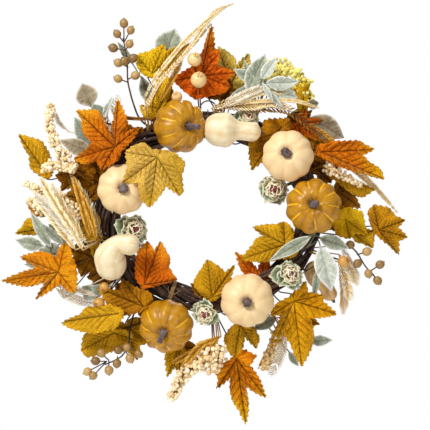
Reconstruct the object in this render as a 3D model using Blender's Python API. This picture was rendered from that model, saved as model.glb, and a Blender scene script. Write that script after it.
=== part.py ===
"""Harvest door wreath: an oval grapevine ring with pumpkins, gourds, artichoke buds, leaves and sprays."""
import math

import bmesh
import bpy
from mathutils import Vector

mm = 0.001

# Driving sizes. Clocks are degrees clockwise from the top, seen from the front.
ring_half_width = 124 * mm    # centreline of the vine ring, sideways
ring_half_height = 107 * mm   # centreline of the vine ring, upright
ring_stations = 36
core_radius = 6.4 * mm
strand_radius = 4.5 * mm
strand_seat = 0.9 * mm        # a strand's clearance to the core, which its own twist takes up
strand_count = 4
strand_turns = 3
touch_gap = 0.3 * mm
seat_gap = 0.8 * mm            # a stalk stands this far off the round core, whose flats come closer
stalk_radius = 1.2 * mm
peg_radius = 1.8 * mm
leaf_thickness = 1.3 * mm
wire_radius = 0.9 * mm
loop_width = 20 * mm
loop_height = 30 * mm         # from the eye's centre to the middle of the wire at the top
eye_clearance = 0.3 * mm
pumpkin_flatness = 0.80       # half thickness along the stem against the radius
stem_seat_radius = 4.6 * mm
stem_radius = 3.2 * mm
berry_radius = 5.6 * mm

bundle_offset = core_radius + strand_seat + strand_radius
bundle_radius = bundle_offset + strand_radius
band_radius = bundle_radius + touch_gap + wire_radius
eye_radius = wire_radius + eye_clearance + wire_radius
eye_back = band_radius + eye_radius
front = Vector((0, -1, 0))


def heading(degrees):
    """Unit direction in the wreath's plane, clockwise from straight up."""
    angle = math.radians(degrees)
    return Vector((math.sin(angle), 0, math.cos(angle)))


def centreline_radius(clock):
    angle = math.radians(clock)
    return ring_half_width * ring_half_height / math.hypot(
        ring_half_height * math.sin(angle), ring_half_width * math.cos(angle))


# The origin is where a nail or hook bears on the inside of the hanger loop.
ring_centre = Vector((0, -eye_back, -(ring_half_height + loop_height - wire_radius)))


def place(clock, out=0.0, ahead=0.0):
    """A point by its clock, its distance outside the ring's centreline and in front of it."""
    return ring_centre + heading(clock) * (centreline_radius(clock) + out) + front * ahead


def ring_normal(clock):
    along = place(clock + 0.5) - place(clock - 0.5)
    return front.cross(along).normalized()


def section_direction(clock, turn):
    """A direction in the ring's cross-section: 0 points outwards, 90 to the front."""
    angle = math.radians(turn)
    return ring_normal(clock) * math.cos(angle) + front * math.sin(angle)


def strand_turn(clock, number):
    return 360 * number / strand_count + strand_turns * clock


def nearest_turn(clock, toward, between):
    """The turn of the strand, or of the gap between two strands, that faces a point best."""
    wanted = (toward - place(clock)).normalized()
    turns = [strand_turn(clock, number + (0.5 if between else 0)) for number in range(strand_count)]
    return max(turns, key=lambda turn: section_direction(clock, turn).dot(wanted))


# ---------------------------------------------------------------- meshes

def material(name, colour, roughness, metallic=0.0):
    made = bpy.data.materials.new(name)
    made.use_nodes = True
    shader = made.node_tree.nodes["Principled BSDF"]
    shader.inputs["Base Color"].default_value = (*colour, 1)
    shader.inputs["Roughness"].default_value = roughness
    shader.inputs["Metallic"].default_value = metallic
    return made


def mesh_object(name, points, faces, look):
    mesh = bpy.data.meshes.new(name)
    mesh.from_pydata(points, [], faces)
    mesh.materials.append(look)
    triangles = bmesh.new()
    triangles.from_mesh(mesh)
    bmesh.ops.triangulate(triangles, faces=triangles.faces)
    triangles.to_mesh(mesh)
    triangles.free()
    made = bpy.data.objects.new(name, mesh)
    bpy.context.scene.collection.objects.link(made)
    return made


def frame_along(direction, hint=None):
    side = direction.cross(hint or front)
    if side.length < 0.2:
        side = direction.cross(Vector((0.3, 0.1, 1)))
    side.normalize()
    return side, side.cross(direction)


def tube(points, radii, sides=6, closed=False, hints=None):
    """Points and faces of a round tube along a path, closed on itself or with flat ends."""
    count = len(points)
    verts, faces = [], []
    side = None
    for index, point in enumerate(points):
        before = points[index - 1] if closed or index else point
        after = points[(index + 1) % count] if closed or index < count - 1 else point
        direction = (after - before).normalized()
        if side is None or hints:
            side, up = frame_along(direction, hints[index] if hints else None)
        else:
            side = (side - direction * side.dot(direction)).normalized()
            up = side.cross(direction)
        for step in range(sides):
            angle = 2 * math.pi * step / sides
            verts.append(point + (side * math.cos(angle) + up * math.sin(angle)) * radii[index])
    spans = count if closed else count - 1
    for index in range(spans):
        here, there = index * sides, (index + 1) % count * sides
        for step in range(sides):
            nxt = (step + 1) % sides
            faces.append((here + step, there + step, there + nxt, here + nxt))
    if not closed:
        faces.append(tuple(range(sides)))
        faces.append(tuple(reversed(range((count - 1) * sides, count * sides))))
    return verts, faces


def turned(profile, axis, centre, sides, ripple=0.0, ribs=0):
    """A turned solid from (radius, height) points, with ribs around it, from one pole to the other."""
    side, up = frame_along(axis)
    verts = [centre + axis * profile[0][1]]
    for radius, height in profile[1:-1]:
        for step in range(sides):
            angle = 2 * math.pi * step / sides
            swell = radius * (1 + ripple * math.cos(ribs * angle))
            verts.append(centre + axis * height + (side * math.cos(angle) + up * math.sin(angle)) * swell)
    verts.append(centre + axis * profile[-1][1])
    rings, last = len(profile) - 2, len(verts) - 1
    faces = []
    for step in range(sides):
        nxt = (step + 1) % sides
        faces.append((0, 1 + step, 1 + nxt))
        for ring in range(rings - 1):
            here = 1 + ring * sides
            there = here + sides
            faces.append((here + step, there + step, there + nxt, here + nxt))
        top = 1 + (rings - 1) * sides
        faces.append((top + step, last, top + nxt))
    return verts, faces


def ball(centre, radius, sides=6, rings=3):
    profile = [(radius * math.sin(math.pi * step / rings), -radius * math.cos(math.pi * step / rings))
               for step in range(rings + 1)]
    return turned(profile, Vector((0.2, -0.9, 0.4)).normalized(), centre, sides)


def fuse(name, shapes, look):
    """One closed body from overlapping closed shapes, whose thin stalks meet too flat for EXACT."""
    base = mesh_object(name, *shapes[0], look)
    for number, shape in enumerate(shapes[1:]):
        other = mesh_object(f"{name}_piece", *shape, look)
        union = base.modifiers.new("join", "BOOLEAN")
        union.operation = "UNION"
        union.solver = "MANIFOLD"
        union.object = other
        graph = bpy.context.evaluated_depsgraph_get()
        joined = bpy.data.meshes.new_from_object(base.evaluated_get(graph))
        base.modifiers.clear()
        base.data = joined
        bpy.data.objects.remove(other)
    return base


def pivot_at(obj, point):
    """Moves an object's origin to its joint."""
    for vertex in obj.data.vertices:
        vertex.co -= point
    obj.location = point


# ---------------------------------------------------------------- leaf outlines

def mirrored(half):
    """A lobed outline from (degrees off the tip, share of the length), hub at the leaf's foot."""
    whole = half + [(-angle, reach) for angle, reach in reversed(half) if 0 < angle < 180]
    return [(reach * math.cos(math.radians(angle)), reach * math.sin(math.radians(angle)))
            for angle, reach in whole]


def oval(width, count=5):
    """A pointed oval outline of this half width, foot at 0 and tip at 1."""
    steps = [step / count for step in range(1, count)]
    half = [(share, width * math.sin(math.pi * share ** 0.85)) for share in steps]
    return [(0.0, 0.0)] + [(u, -v) for u, v in half] + [(1.0, 0.0)] + list(reversed(half))


shapes = {
    "ivy": (mirrored([(0, 1), (20, 0.64), (40, 0.80), (64, 0.52), (92, 0.62), (122, 0.42), (154, 0.26),
                      (180, 0.10)]), 0.0),
    "round": (oval(0.46), 0.45),
    "lamb": (oval(0.27), 0.45),
    "slim": (oval(0.15), 0.45),
    "blade": (oval(0.10, 6), 0.45),
    "fern": (oval(0.24, 6), 0.45),
}


# Cut leaves: the hub's clock, out and ahead, then the outline's corners clockwise as heading and reach,
# lengths in mm.
cut_leaves = {
    "top_left_orange": (305, 17, 48, [(313, 66), (335, 49), (341, 13), (357, 36), (2, 59), (24, 36),
        (37, 23), (50, 38), (70, 22), (126, 10), (172, 18), (212, 32), (234, 28), (240, 42), (255, 53),
        (267, 33), (281, 28), (294, 43), (309, 53)]),
    "left_orange": (248, 72, 30, [(261, 71), (267, 52), (277, 31), (285, 29), (291, 51), (315, 35),
        (334, 26), (351, 18), (0, 29), (12, 37), (27, 32), (44, 25), (82, 22), (122, 26), (142, 32),
        (158, 24), (170, 14), (195, 20), (221, 43), (232, 18), (246, 43)]),
    "bottom_orange": (169, 74, 6, [(32, 14), (81, 25), (115, 18), (130, 36), (144, 62), (154, 46),
        (163, 33), (166, 61), (172, 83), (177, 65), (185, 53), (192, 39), (198, 24), (213, 45), (221, 34),
        (243, 30), (252, 14), (326, 5)]),
    "lower_right_amber": (136, 35, 20, [(30, 28), (59, 20), (78, 36), (92, 36), (107, 55), (117, 43),
        (137, 29), (147, 45), (158, 60), (173, 80), (178, 68), (184, 53), (199, 40), (205, 65), (212, 44),
        (221, 22), (238, 34), (266, 20), (304, 8)]),
    "right_orange": (62, 34, 36, [(51, 21), (74, 48), (81, 53), (88, 64), (95, 50), (103, 60), (107, 75),
        (114, 83), (117, 56), (124, 34), (153, 10), (243, 7), (330, 9)]),
    "inner_left_rust": (221, 3, 21, [(3, 53), (10, 48), (16, 43), (20, 56), (34, 48), (45, 44), (54, 36),
        (70, 37), (81, 40), (88, 21), (117, 7), (196, 6), (309, 15), (347, 41)]),
    "top_rust": (357, 57, 22, [(12, 65), (26, 38), (38, 38), (57, 23), (84, 43), (99, 32), (109, 38),
        (123, 36), (154, 27), (195, 29), (218, 27), (242, 29), (261, 34), (272, 29), (310, 16), (0, 27),
        (7, 35)]),
    "upper_left_honey": (317, -26, 61, [(43, 12), (74, 21), (98, 34), (124, 37), (142, 52), (148, 53),
        (163, 36), (177, 47), (187, 60), (200, 53), (216, 38), (233, 50), (252, 37), (279, 38), (300, 30),
        (318, 23), (324, 11)]),
    "inner_right_honey": (113, -20, 20, [(357, 28), (14, 25), (37, 19), (73, 10), (119, 19), (146, 19),
        (207, 20), (223, 29), (240, 42), (251, 57), (270, 39), (282, 36), (292, 28), (298, 45), (315, 34),
        (337, 27)]),
    "inner_bottom_gold": (177, -4, 19, [(305, 29), (326, 33), (339, 37), (352, 46), (4, 41), (27, 34),
        (35, 48), (43, 33), (66, 30), (90, 9), (180, 6), (281, 15)]),
    "bottom_gold": (164, 34, 14, [(100, 17), (125, 29), (146, 35), (160, 16), (175, 30), (190, 42),
        (214, 33), (233, 25), (256, 12), (326, 5), (53, 8)]),
    "under_pumpkin_gold": (192, 58, 6, [(45, 6), (148, 14), (180, 32), (190, 25), (201, 42), (236, 22),
        (292, 8)]),
    "lower_left_ochre": (214, 26, 27, [(321, 43), (336, 26), (28, 19), (63, 13), (121, 4), (190, 5),
        (245, 25), (255, 42), (279, 47), (292, 61), (299, 43), (304, 35)]),
    "folded_ochre": (221, 49, 34, [(45, 8), (135, 8), (189, 18), (225, 34), (241, 46), (252, 60),
        (263, 71), (270, 48), (283, 41), (311, 16)]),
    "low_left_ochre": (218, 73, 10, [(86, 22), (111, 25), (140, 20), (198, 27), (227, 45), (241, 46),
        (265, 37), (280, 27), (298, 13), (319, 6), (65, 11)]),
    "top_left_ochre": (338, 72, 8, [(352, 28), (22, 39), (32, 32), (43, 46), (51, 52), (65, 26),
        (117, 10), (190, 6), (264, 11), (293, 20), (320, 30)]),
    "folded_yellow": (335, 28, 21, [(356, 39), (20, 40), (33, 23), (135, 6), (207, 11), (225, 14),
        (255, 15), (280, 16), (300, 12)]),
    "top_golden": (10, 50, -2, [(342, 50), (356, 41), (11, 33), (17, 26), (30, 46), (45, 35), (74, 22),
        (117, 14), (214, 22), (304, 22)]),
    "outer_right_gold": (41, 60, 2, [(341, 27), (22, 28), (37, 15), (129, 10), (150, 21), (180, 12),
        (270, 6)]),
    "behind_cream_brown": (41, 22, 21, [(207, 44), (215, 63), (236, 48), (247, 43), (257, 26), (293, 23),
        (41, 14), (90, 12), (180, 11)]),
    "far_right_ochre": (96, 84, 14, [(349, 31), (27, 30), (52, 27), (70, 35), (83, 24), (104, 37),
        (119, 28), (140, 40), (145, 24), (191, 8), (306, 13), (329, 26)]),
    "right_gold": (93, 42, 16, [(67, 23), (104, 25), (125, 34), (144, 21), (166, 25), (205, 22),
        (248, 16), (307, 15), (11, 15)]),
    "right_brown": (99, 57, 10, [(58, 14), (77, 27), (94, 24), (125, 27), (139, 14), (180, 8), (288, 5)]),
    "two_tone": (72, 33, 12, [(104, 19), (111, 59), (128, 50), (135, 34), (138, 18), (194, 6), (315, 4),
        (72, 10)]),
    "outer_left_ochre": (283, 78, 0, [(324, 62), (333, 53), (350, 42), (7, 25), (68, 8), (155, 6),
        (243, 7), (290, 22), (317, 33), (320, 48)]),
    "left_brown": (288, 34, 6, [(265, 38), (285, 24), (304, 16), (6, 15), (76, 13), (153, 17), (223, 25),
        (234, 39), (246, 33)]),
    "small_left_ochre": (270, 78, 0, [(300, 23), (347, 13), (27, 7), (153, 7), (247, 12)]),
    "left_yellow": (264, 86, -4, [(261, 28), (279, 20), (315, 19), (338, 16), (80, 6), (180, 6),
        (243, 14)]),
}


def leaf_axes(turn, lean, roll):
    """Tip direction, across and face direction of a leaf that lies at this heading."""
    tip = heading(turn) * math.cos(math.radians(lean)) + front * math.sin(math.radians(lean))
    face = front - tip * front.dot(tip)
    face.normalize()
    across = face.cross(tip)
    angle = math.radians(roll)
    across, face = (across * math.cos(angle) + face * math.sin(angle),
                    face * math.cos(angle) - across * math.sin(angle))
    return tip, across, face


def cut_leaf(name, lean=0, roll=0):
    clock, out, ahead, corners = cut_leaves[name]
    turn, length = max(corners, key=lambda corner: corner[1])
    outline = []
    for way, reach in reversed(corners):
        angle = math.radians(way - turn)
        outline.append((reach / length * math.cos(angle), -reach / length * math.sin(angle)))
    return blade(outline, 0.0, clock, out, ahead, turn, length, lean, roll)


def leaf(kind, *pose):
    if kind in cut_leaves:
        return cut_leaf(kind, *pose)
    return blade(*shapes[kind], *pose)


def blade(outline, hub, clock, out, ahead, turn, length, lean=0, roll=0):
    """A leaf blade as a closed thin solid, with its foot, tip direction, face direction and length."""
    tip, across, face = leaf_axes(turn, lean, roll)
    foot = place(clock, out * mm, ahead * mm)
    size = length * mm
    thick = leaf_thickness
    rings = (0.55, 1.0) if length > 60 else (1.0,)
    flat = [(hub, 0.0)]
    for share in rings:
        flat += [(hub + (u - hub) * share, v * share) for u, v in outline]

    def point(u, v, lift):
        bow = -0.12 * u * u - 0.22 * v * v + 0.03
        return foot + (tip * u + across * v + face * bow) * size + face * lift

    verts = [point(u, v, thick / 2) for u, v in flat] + [point(u, v, -thick / 2) for u, v in flat]
    count, below = len(outline), len(flat)
    faces = []
    for step in range(count):
        nxt = (step + 1) % count
        faces.append((0, 1 + step, 1 + nxt))
        faces.append((below, below + 1 + nxt, below + 1 + step))
        for ring in range(len(rings) - 1):
            here, there = 1 + ring * count, 1 + (ring + 1) * count
            faces.append((here + step, there + step, there + nxt, here + nxt))
            faces.append(tuple(below + corner for corner in (here + step, here + nxt, there + nxt, there + step)))
        rim = 1 + (len(rings) - 1) * count
        faces.append((rim + step, below + rim + step, below + rim + nxt, rim + nxt))
    return (verts, faces), point(0.06, 0, 0), tip, face, size


# ---------------------------------------------------------------- pegs, stalks and sprigs

def peg(clock, toward, radius=peg_radius):
    """Where a stalk stands on the core, in the gap between two strands, and where it leaves the vines."""
    turn = nearest_turn(clock, toward, between=True)
    way = section_direction(clock, turn)
    return place(clock) + way * (core_radius + seat_gap), place(clock) + way * (bundle_radius + 2 * mm), way


def sprig(name, look, root, leaves):
    """Leaves on one stem that is pushed between the vines at the root clock."""
    made = [leaf(*entry) for entry in leaves]
    seat, mouth, way = peg(root, made[0][1])
    parts = []
    for number, (solid, hub, tip, face, size) in enumerate(made):
        under = hub - tip * min(0.12 * size, 6 * mm) - face * 3 * mm
        start = [mouth - way * number * mm] if number else [seat, mouth]
        path = start + [under, hub + tip * 0.10 * size - face * 0.2 * mm]
        thick = stalk_radius * (0.9 - 0.07 * number) if number else stalk_radius
        parts.append(tube(path, [thick] * (len(path) - 1) + [thick * 0.8], 4))
        parts.append(solid)
    return fuse(name, parts, look)


# ---------------------------------------------------------------- the vine ring and its hanger

def build_ring(bark, raffia, steel):
    clocks = [360 * step / ring_stations for step in range(ring_stations)]
    middle = [place(clock) for clock in clocks]
    mesh_object("vine_core", *tube(middle, [core_radius] * ring_stations, 6, True), bark)
    for number in range(strand_count):
        ways = [section_direction(clock, strand_turn(clock, number)) for clock in clocks]
        path = [place(clock) + way * bundle_offset for clock, way in zip(clocks, ways)]
        mesh_object(f"vine_strand_{number + 1}",
                    *tube(path, [strand_radius] * ring_stations, 6, True, ways), bark)
    mesh_object("vine_tie", *band(204, wire_radius * 1.1), raffia)
    eye = place(0, 0, -eye_back)
    ring_of_eye = circle(eye, Vector((0, 1, 0)), Vector((0, 0, 1)), eye_radius, 10)
    fuse("hanger_band", [band(0, wire_radius), tube(ring_of_eye, [wire_radius] * 10, 5, True)], steel)
    half = loop_width / 2
    bar = [eye + Vector((share * half, 0, 0)) for share in (-0.8, 0, 0.8)]
    arch = []
    for step in range(13):
        angle = math.pi * step / 12
        arch.append(eye + Vector((half * math.cos(angle), 0,
                                  loop_height - half + half * math.sin(angle))))
    corner = [eye + Vector((half, 0, 2 * mm)), *arch, eye + Vector((-half, 0, 2 * mm))]
    loop = mesh_object("hanger_loop", *tube(bar + corner, [wire_radius] * (len(bar) + len(corner)), 6, True,
                                            [front] * (len(bar) + len(corner))), steel)
    pivot_at(loop, eye)


def circle(centre, one, other, radius, count):
    angles = [2 * math.pi * step / count for step in range(count)]
    return [centre + (one * math.cos(angle) + other * math.sin(angle)) * radius for angle in angles]


def band(clock, radius, count=18):
    """A wire ring around the whole bundle of vines."""
    reach = bundle_radius + touch_gap + radius
    path = circle(place(clock), ring_normal(clock), front, reach, count)
    return tube(path, [radius] * count, 5, True)


# ---------------------------------------------------------------- pumpkins, gourds and buds

def pumpkin(name, clock, out, back, radius, turn, tilt, skin, bark, stem_length, stem_turn, ribs=8):
    axis = front * math.cos(math.radians(tilt)) + heading(turn) * math.sin(math.radians(tilt))
    wide = radius * mm
    high = wide * pumpkin_flatness
    centre = place(clock, out * mm, back * mm + high)
    seat = high * 0.80
    profile = [(0, -high * 0.84), (wide * 0.34, -high * 0.95)]
    for degrees in (-45, -20, 5, 30, 52):
        angle = math.radians(degrees)
        profile.append((wide * math.cos(angle) ** 0.8, high * math.sin(angle)))
    profile += [(wide * 0.34, high * 0.97), (stem_seat_radius, seat), (0, seat)]
    body = turned(profile, axis, centre, 2 * ribs, 0.035, ribs)
    root, mouth, _ = peg(clock, centre)
    stalk = tube([root, mouth, centre], [peg_radius] * 3, 6)
    fuse(name, [body, stalk], skin)
    foot = centre + axis * (seat + touch_gap)
    bend = heading(stem_turn)
    reach = stem_length * mm
    path = [foot, foot + axis * reach * 0.45, foot + axis * reach * 0.8 + bend * reach * 0.35]
    radii = [stem_radius, stem_radius * 0.62, stem_radius * 0.8]
    mesh_object(name.replace("pumpkin", "stem"), *tube(path, radii, 6), bark)


def gourd(name, points, radii, root, skin):
    """A gourd along its own bent axis, rounded at both ends."""
    path = [place(clock, out * mm, ahead * mm) for clock, out, ahead in points]
    first, last = path[0] - path[1], path[-1] - path[-2]
    path = [path[0] + first.normalized() * radii[0] * 0.8 * mm, *path,
            path[-1] + last.normalized() * radii[-1] * 0.75 * mm]
    sizes = [radii[0] * 0.45 * mm, *[size * mm for size in radii], radii[-1] * 0.55 * mm]
    seat, mouth, _ = peg(root, path[1])
    fuse(name, [tube(path, sizes, 12), tube([seat, mouth, path[2]], [peg_radius] * 3, 6)], skin)


def artichoke(name, clock, out, ahead, radius, turn, tilt, skin):
    """A bud whose petals open in scalloped rows."""
    axis = front * math.cos(math.radians(tilt)) + heading(turn) * math.sin(math.radians(tilt))
    centre = place(clock, out * mm, ahead * mm)
    size = radius * mm
    profile = [(0, -0.75), (0.45, -0.7), (0.88, -0.3), (1.0, 0.12), (0.70, 0.10), (0.72, 0.42), (0.45, 0.38),
               (0.36, 0.62), (0, 0.6)]
    body = turned([(r * size, h * size) for r, h in profile], axis, centre, 14, 0.07, 7)
    seat, mouth, _ = peg(clock, centre)
    fuse(name, [body, tube([seat, mouth, centre], [peg_radius] * 3, 6)], skin)


# ---------------------------------------------------------------- sprays

def nearest_on(path, point, back):
    """The nearest point of a path, a little way back along it so that no two stalks share a root."""
    spans = []
    for start, end in zip(path, path[1:]):
        along = end - start
        share = max(0.05, min(0.95, (point - start).dot(along) / along.length_squared))
        spans.append(start + along * share - along.normalized() * back)
    return min(spans, key=lambda near: (near - point).length)


def berry_spray(name, root, berries, stems, look):
    """Berries on a wiry stem whose foot is bound to the nearest vine, where the wire bends."""
    spine = [place(clock, out * mm, ahead * mm) for clock, out, ahead in stems]
    turn = nearest_turn(root, spine[0], between=False)
    way = section_direction(root, turn)
    foot_radius = stalk_radius * 1.5
    foot = place(root) + way * (bundle_radius + touch_gap + foot_radius)
    spine.insert(0, foot)
    parts = [ball(foot, foot_radius, 8, 4), tube(spine, [stalk_radius] * len(spine), 5)]
    for number, (clock, out, ahead) in enumerate(berries):
        middle = place(clock, out * mm, ahead * mm)
        near = nearest_on(spine[1:], middle, number * 0.3 * mm)
        parts.append(tube([near, middle], [stalk_radius * 0.7] * 2, 4))
        parts.append(ball(middle, berry_radius))
    pivot_at(fuse(name, parts, look), foot)


def bead_spray(name, root, branches, look, radius=5.0):
    """Seed heads as tapered branches that share one foot."""
    paths = [[place(clock, out * mm, ahead * mm) for clock, out, ahead in branch] for branch in branches]
    seat, mouth, _ = peg(root, paths[0][0])
    first = [seat, mouth, *paths[0]]
    sizes = [stalk_radius] * 2 + [radius * mm] * (len(paths[0]) - 1) + [radius * 0.5 * mm]
    parts = [tube(first, sizes, 6)]
    for path in paths[1:]:
        parts.append(tube(path, [radius * 0.9 * mm] * (len(path) - 1) + [radius * 0.5 * mm], 6))
    fuse(name, parts, look)


def main():
    for old in list(bpy.data.objects):
        bpy.data.objects.remove(old)

    bark = material("bark", (0.055, 0.03, 0.022), 0.85)
    raffia = material("raffia", (0.45, 0.32, 0.17), 0.8)
    steel = material("wire", (0.35, 0.34, 0.33), 0.4, 1.0)
    gold = material("gold_skin", (0.42, 0.26, 0.02), 0.45)
    cream = material("cream_skin", (0.85, 0.66, 0.38), 0.55)
    dry_stem = material("dry_stem", (0.12, 0.07, 0.07), 0.85)
    ivory = material("ivory_skin", (0.85, 0.78, 0.55), 0.45)
    artichoke_green = material("artichoke_green", (0.33, 0.42, 0.31), 0.75)
    orange = material("maple_orange", (0.62, 0.13, 0.02), 0.75)
    rust = material("maple_rust", (0.35, 0.06, 0.02), 0.75)
    amber = material("maple_amber", (0.65, 0.33, 0.03), 0.75)
    ochre = material("ivy_ochre", (0.55, 0.34, 0.04), 0.75)
    brown = material("ivy_brown", (0.25, 0.11, 0.03), 0.8)
    felt = material("felt_green", (0.36, 0.42, 0.36), 0.95)
    tan = material("berry_tan", (0.48, 0.30, 0.12), 0.4)
    seed = material("seed_cream", (0.80, 0.72, 0.45), 0.6)
    lime = material("seed_lime", (0.72, 0.68, 0.15), 0.6)
    straw = material("straw", (0.70, 0.56, 0.33), 0.9)

    build_ring(bark, raffia, steel)

    pumpkin("gold_pumpkin_1", 342, -1, 18.1, 31.1, 95, 30, gold, dry_stem, 14, 100)
    pumpkin("gold_pumpkin_2", 87, 2, 18.2, 32.3, 320, 8, gold, dry_stem, 13, 95)
    pumpkin("gold_pumpkin_3", 200, 37, 6.6, 31.7, 205, 20, gold, dry_stem, 14, 200)
    pumpkin("cream_pumpkin_1", 285, -17, 15.5, 29.4, 90, 3, cream, dry_stem, 9, 60)
    pumpkin("cream_pumpkin_2", 55, -1, 18.1, 29.9, 320, 8, cream, dry_stem, 9, 300)
    pumpkin("cream_pumpkin_3", 156, 6, 18.1, 31.1, 200, 6, cream, dry_stem, 9, 20)

    gourd("gourd_1", [(8, -8, 40), (14, -7, 41), (20, -5, 41), (29, -1, 40)], [20, 21, 11, 11.5], 10, ivory)
    gourd("gourd_2", [(241, 13, 38), (246, 7, 42), (250, -8, 48), (247, -21, 52)], [18, 19, 11, 12.5], 243,
          ivory)
    gourd("gourd_3", [(119, 31, -3), (121, 38, -3), (122, 50, -4), (124, 62, -5)], [14, 13, 9, 9], 121,
          ivory)

    artichoke("artichoke_1", 257, -31, 23, 21.5, 90, 12, artichoke_green)
    artichoke("artichoke_2", 71, -37, 20, 21.0, 270, 5, artichoke_green)
    artichoke("artichoke_3", 128, 6, 36, 20.0, 60, 20, artichoke_green)
    artichoke("artichoke_4", 181, 14, 35, 18.5, 230, 18, artichoke_green)

    sprig("maple_top_left", orange, 302, [("top_left_orange", -4)])
    sprig("maple_left", orange, 251, [("left_orange",)])
    sprig("maple_bottom", orange, 175, [("bottom_orange", -3)])
    sprig("maple_lower_right", amber, 137, [("lower_right_amber",)])
    sprig("maple_right", rust, 64, [("right_orange", 0, 10)])
    sprig("maple_top", rust, 4, [("top_rust",)])
    sprig("maple_inner_left", rust, 233, [("inner_left_rust",)])

    sprig("ivy_upper_left", ochre, 318, [("upper_left_honey", 2, -10)])
    sprig("ivy_top_left", ochre, 339, [("top_left_ochre",), ("folded_yellow", 0, -10),
                                      ("ivy", 339, 31, 4, 14, 24)])
    sprig("ivy_top", ochre, 8, [("top_golden",), ("ivy", 10, 44, 1, 248, 29)])
    sprig("ivy_top_right", ochre, 38, [("behind_cream_brown",), ("outer_right_gold",)])
    sprig("ivy_right", ochre, 78, [("two_tone",), ("ivy", 81, 36, 3, 125, 36)])
    sprig("ivy_lower_right", ochre, 97, [("right_gold",), ("far_right_ochre",), ("right_brown",)])
    sprig("ivy_inner_right", ochre, 113, [("inner_right_honey", -4)])
    sprig("ivy_inner_bottom", ochre, 170, [("inner_bottom_gold",), ("bottom_gold",)])
    sprig("ivy_bottom_left", ochre, 196, [("under_pumpkin_gold",), ("low_left_ochre",)])
    sprig("ivy_lower_left", brown, 217, [("lower_left_ochre",), ("folded_ochre", 0, 20)])
    sprig("ivy_left_high", ochre, 293, [("outer_left_ochre",), ("left_brown",)])
    sprig("ivy_left_low", ochre, 264, [("left_yellow",), ("small_left_ochre",)])

    sprig("felt_leaves_top", felt, 20, [("slim", 19, 49, 26, 348, 36), ("lamb", 18, 43, 32, 26, 52),
                                       ("lamb", 23, 54, 34, 106, 47), ("slim", 24, 53, 42, 135, 34),
                                       ("slim", 19, 52, 30, 238, 37)])
    sprig("felt_leaves_upper_left", felt, 299, [("lamb", 299, 40, 14, 329, 45), ("round", 312, 76, 6, 339, 31),
                                               ("lamb", 297, 35, 26, 292, 44)])
    sprig("felt_leaves_left", felt, 257, [("slim", 257, 71, 18, 329, 52), ("slim", 257, 55, 24, 313, 39),
                                         ("lamb", 258, 80, 10, 283, 37), ("lamb", 252, 78, 6, 266, 34)])
    sprig("felt_leaves_right", felt, 106, [("slim", 103, 4, 39, 239, 59), ("lamb", 107, 18, 34, 165, 57),
                                          ("lamb", 103, 14, 36, 110, 38, 4)])

    berry_spray("berry_spray_top", 326,
                [(336, 141, 10), (337, 130, 12), (333, 132, 14), (335, 115, 12), (330, 119, 10), (334, 97, 14),
                 (329, 100, 10), (331, 98, 18), (332, 77, 12), (326, 83, 12)],
                [(324, 33, 10), (328, 71, 10), (332, 99, 10), (334, 125, 10)], tan)
    berry_spray("berry_spray_right", 103,
                [(104, 75, 20), (107, 95, 20), (111, 86, 22), (112, 100, 18), (109, 69, 22), (104, 38, 24),
                 (103, 53, 24)], [(103, 28, 20), (104, 57, 20), (109, 79, 20), (111, 94, 20)], tan)
    berry_spray("berry_spray_bottom", 217,
                [(217, 129, 20), (215, 129, 24), (217, 113, 20), (217, 101, 22), (212, 114, 22), (211, 102, 24),
                 (213, 87, 24), (211, 80, 20), (208, 90, 22), (206, 81, 20)],
                [(217, 32, 12), (214, 56, 16), (211, 76, 20), (211, 93, 20), (214, 111, 20)], tan)

    bead_spray("seed_spray_upper_left", 280,
               [[(286, 34, 26), (288, 54, 26), (292, 70, 26), (298, 96, 24), (304, 112, 22)],
                [(288, 54, 26), (285, 82, 26)]], seed)
    bead_spray("seed_spray_left", 261, [[(261, 22, 26), (266, 30, 28), (271, 36, 28), (277, 56, 28)],
                                        [(266, 30, 28), (271, 79, 26)]], seed)
    bead_spray("seed_spray_bottom", 178,
               [[(176, 44, 32), (181, 72, 28), (188, 88, 24), (191, 120, 22)]], seed)
    bead_spray("seed_spray_top_right", 27, [[(26, 44, -10), (23, 78, -8), (28, 91, -8), (38, 86, -8)]], lime)

    sprig("plume_top", straw, 321, [("blade", 333, 48, 38, 40, 150), ("blade", 330, 46, 38, 20, 110)])
    sprig("plume_right", straw, 61, [("blade", 61, 29, -8, 118, 124), ("fern", 48, 44, 6, 105, 56)])
    sprig("plume_left", straw, 256, [("fern", 253, 34, 40, 312, 88), ("blade", 258, 20, 42, 330, 82)])


main()
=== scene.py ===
# Harvest door wreath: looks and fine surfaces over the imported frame.
import math
import random

import bpy
import numpy as np
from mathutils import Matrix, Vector


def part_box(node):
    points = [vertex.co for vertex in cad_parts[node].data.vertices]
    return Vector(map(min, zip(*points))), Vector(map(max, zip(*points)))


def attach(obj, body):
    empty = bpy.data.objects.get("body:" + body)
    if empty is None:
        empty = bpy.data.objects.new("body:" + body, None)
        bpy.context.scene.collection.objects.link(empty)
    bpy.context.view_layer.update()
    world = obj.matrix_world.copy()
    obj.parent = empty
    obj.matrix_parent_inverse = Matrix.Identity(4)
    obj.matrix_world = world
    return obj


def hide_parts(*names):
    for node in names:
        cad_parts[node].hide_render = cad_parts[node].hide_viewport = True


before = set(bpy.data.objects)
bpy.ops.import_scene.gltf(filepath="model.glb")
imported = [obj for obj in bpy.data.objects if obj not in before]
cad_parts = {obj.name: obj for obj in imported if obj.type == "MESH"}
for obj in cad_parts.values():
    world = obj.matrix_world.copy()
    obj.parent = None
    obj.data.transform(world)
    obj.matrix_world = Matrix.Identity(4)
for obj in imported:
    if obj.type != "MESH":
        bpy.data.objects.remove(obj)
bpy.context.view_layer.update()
mm = 0.001
front = np.array([0.0, -1.0, 0.0])
print("frame loaded")

# the ring's own places: clock in degrees from the top, out and ahead in mm from its centreline

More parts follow.
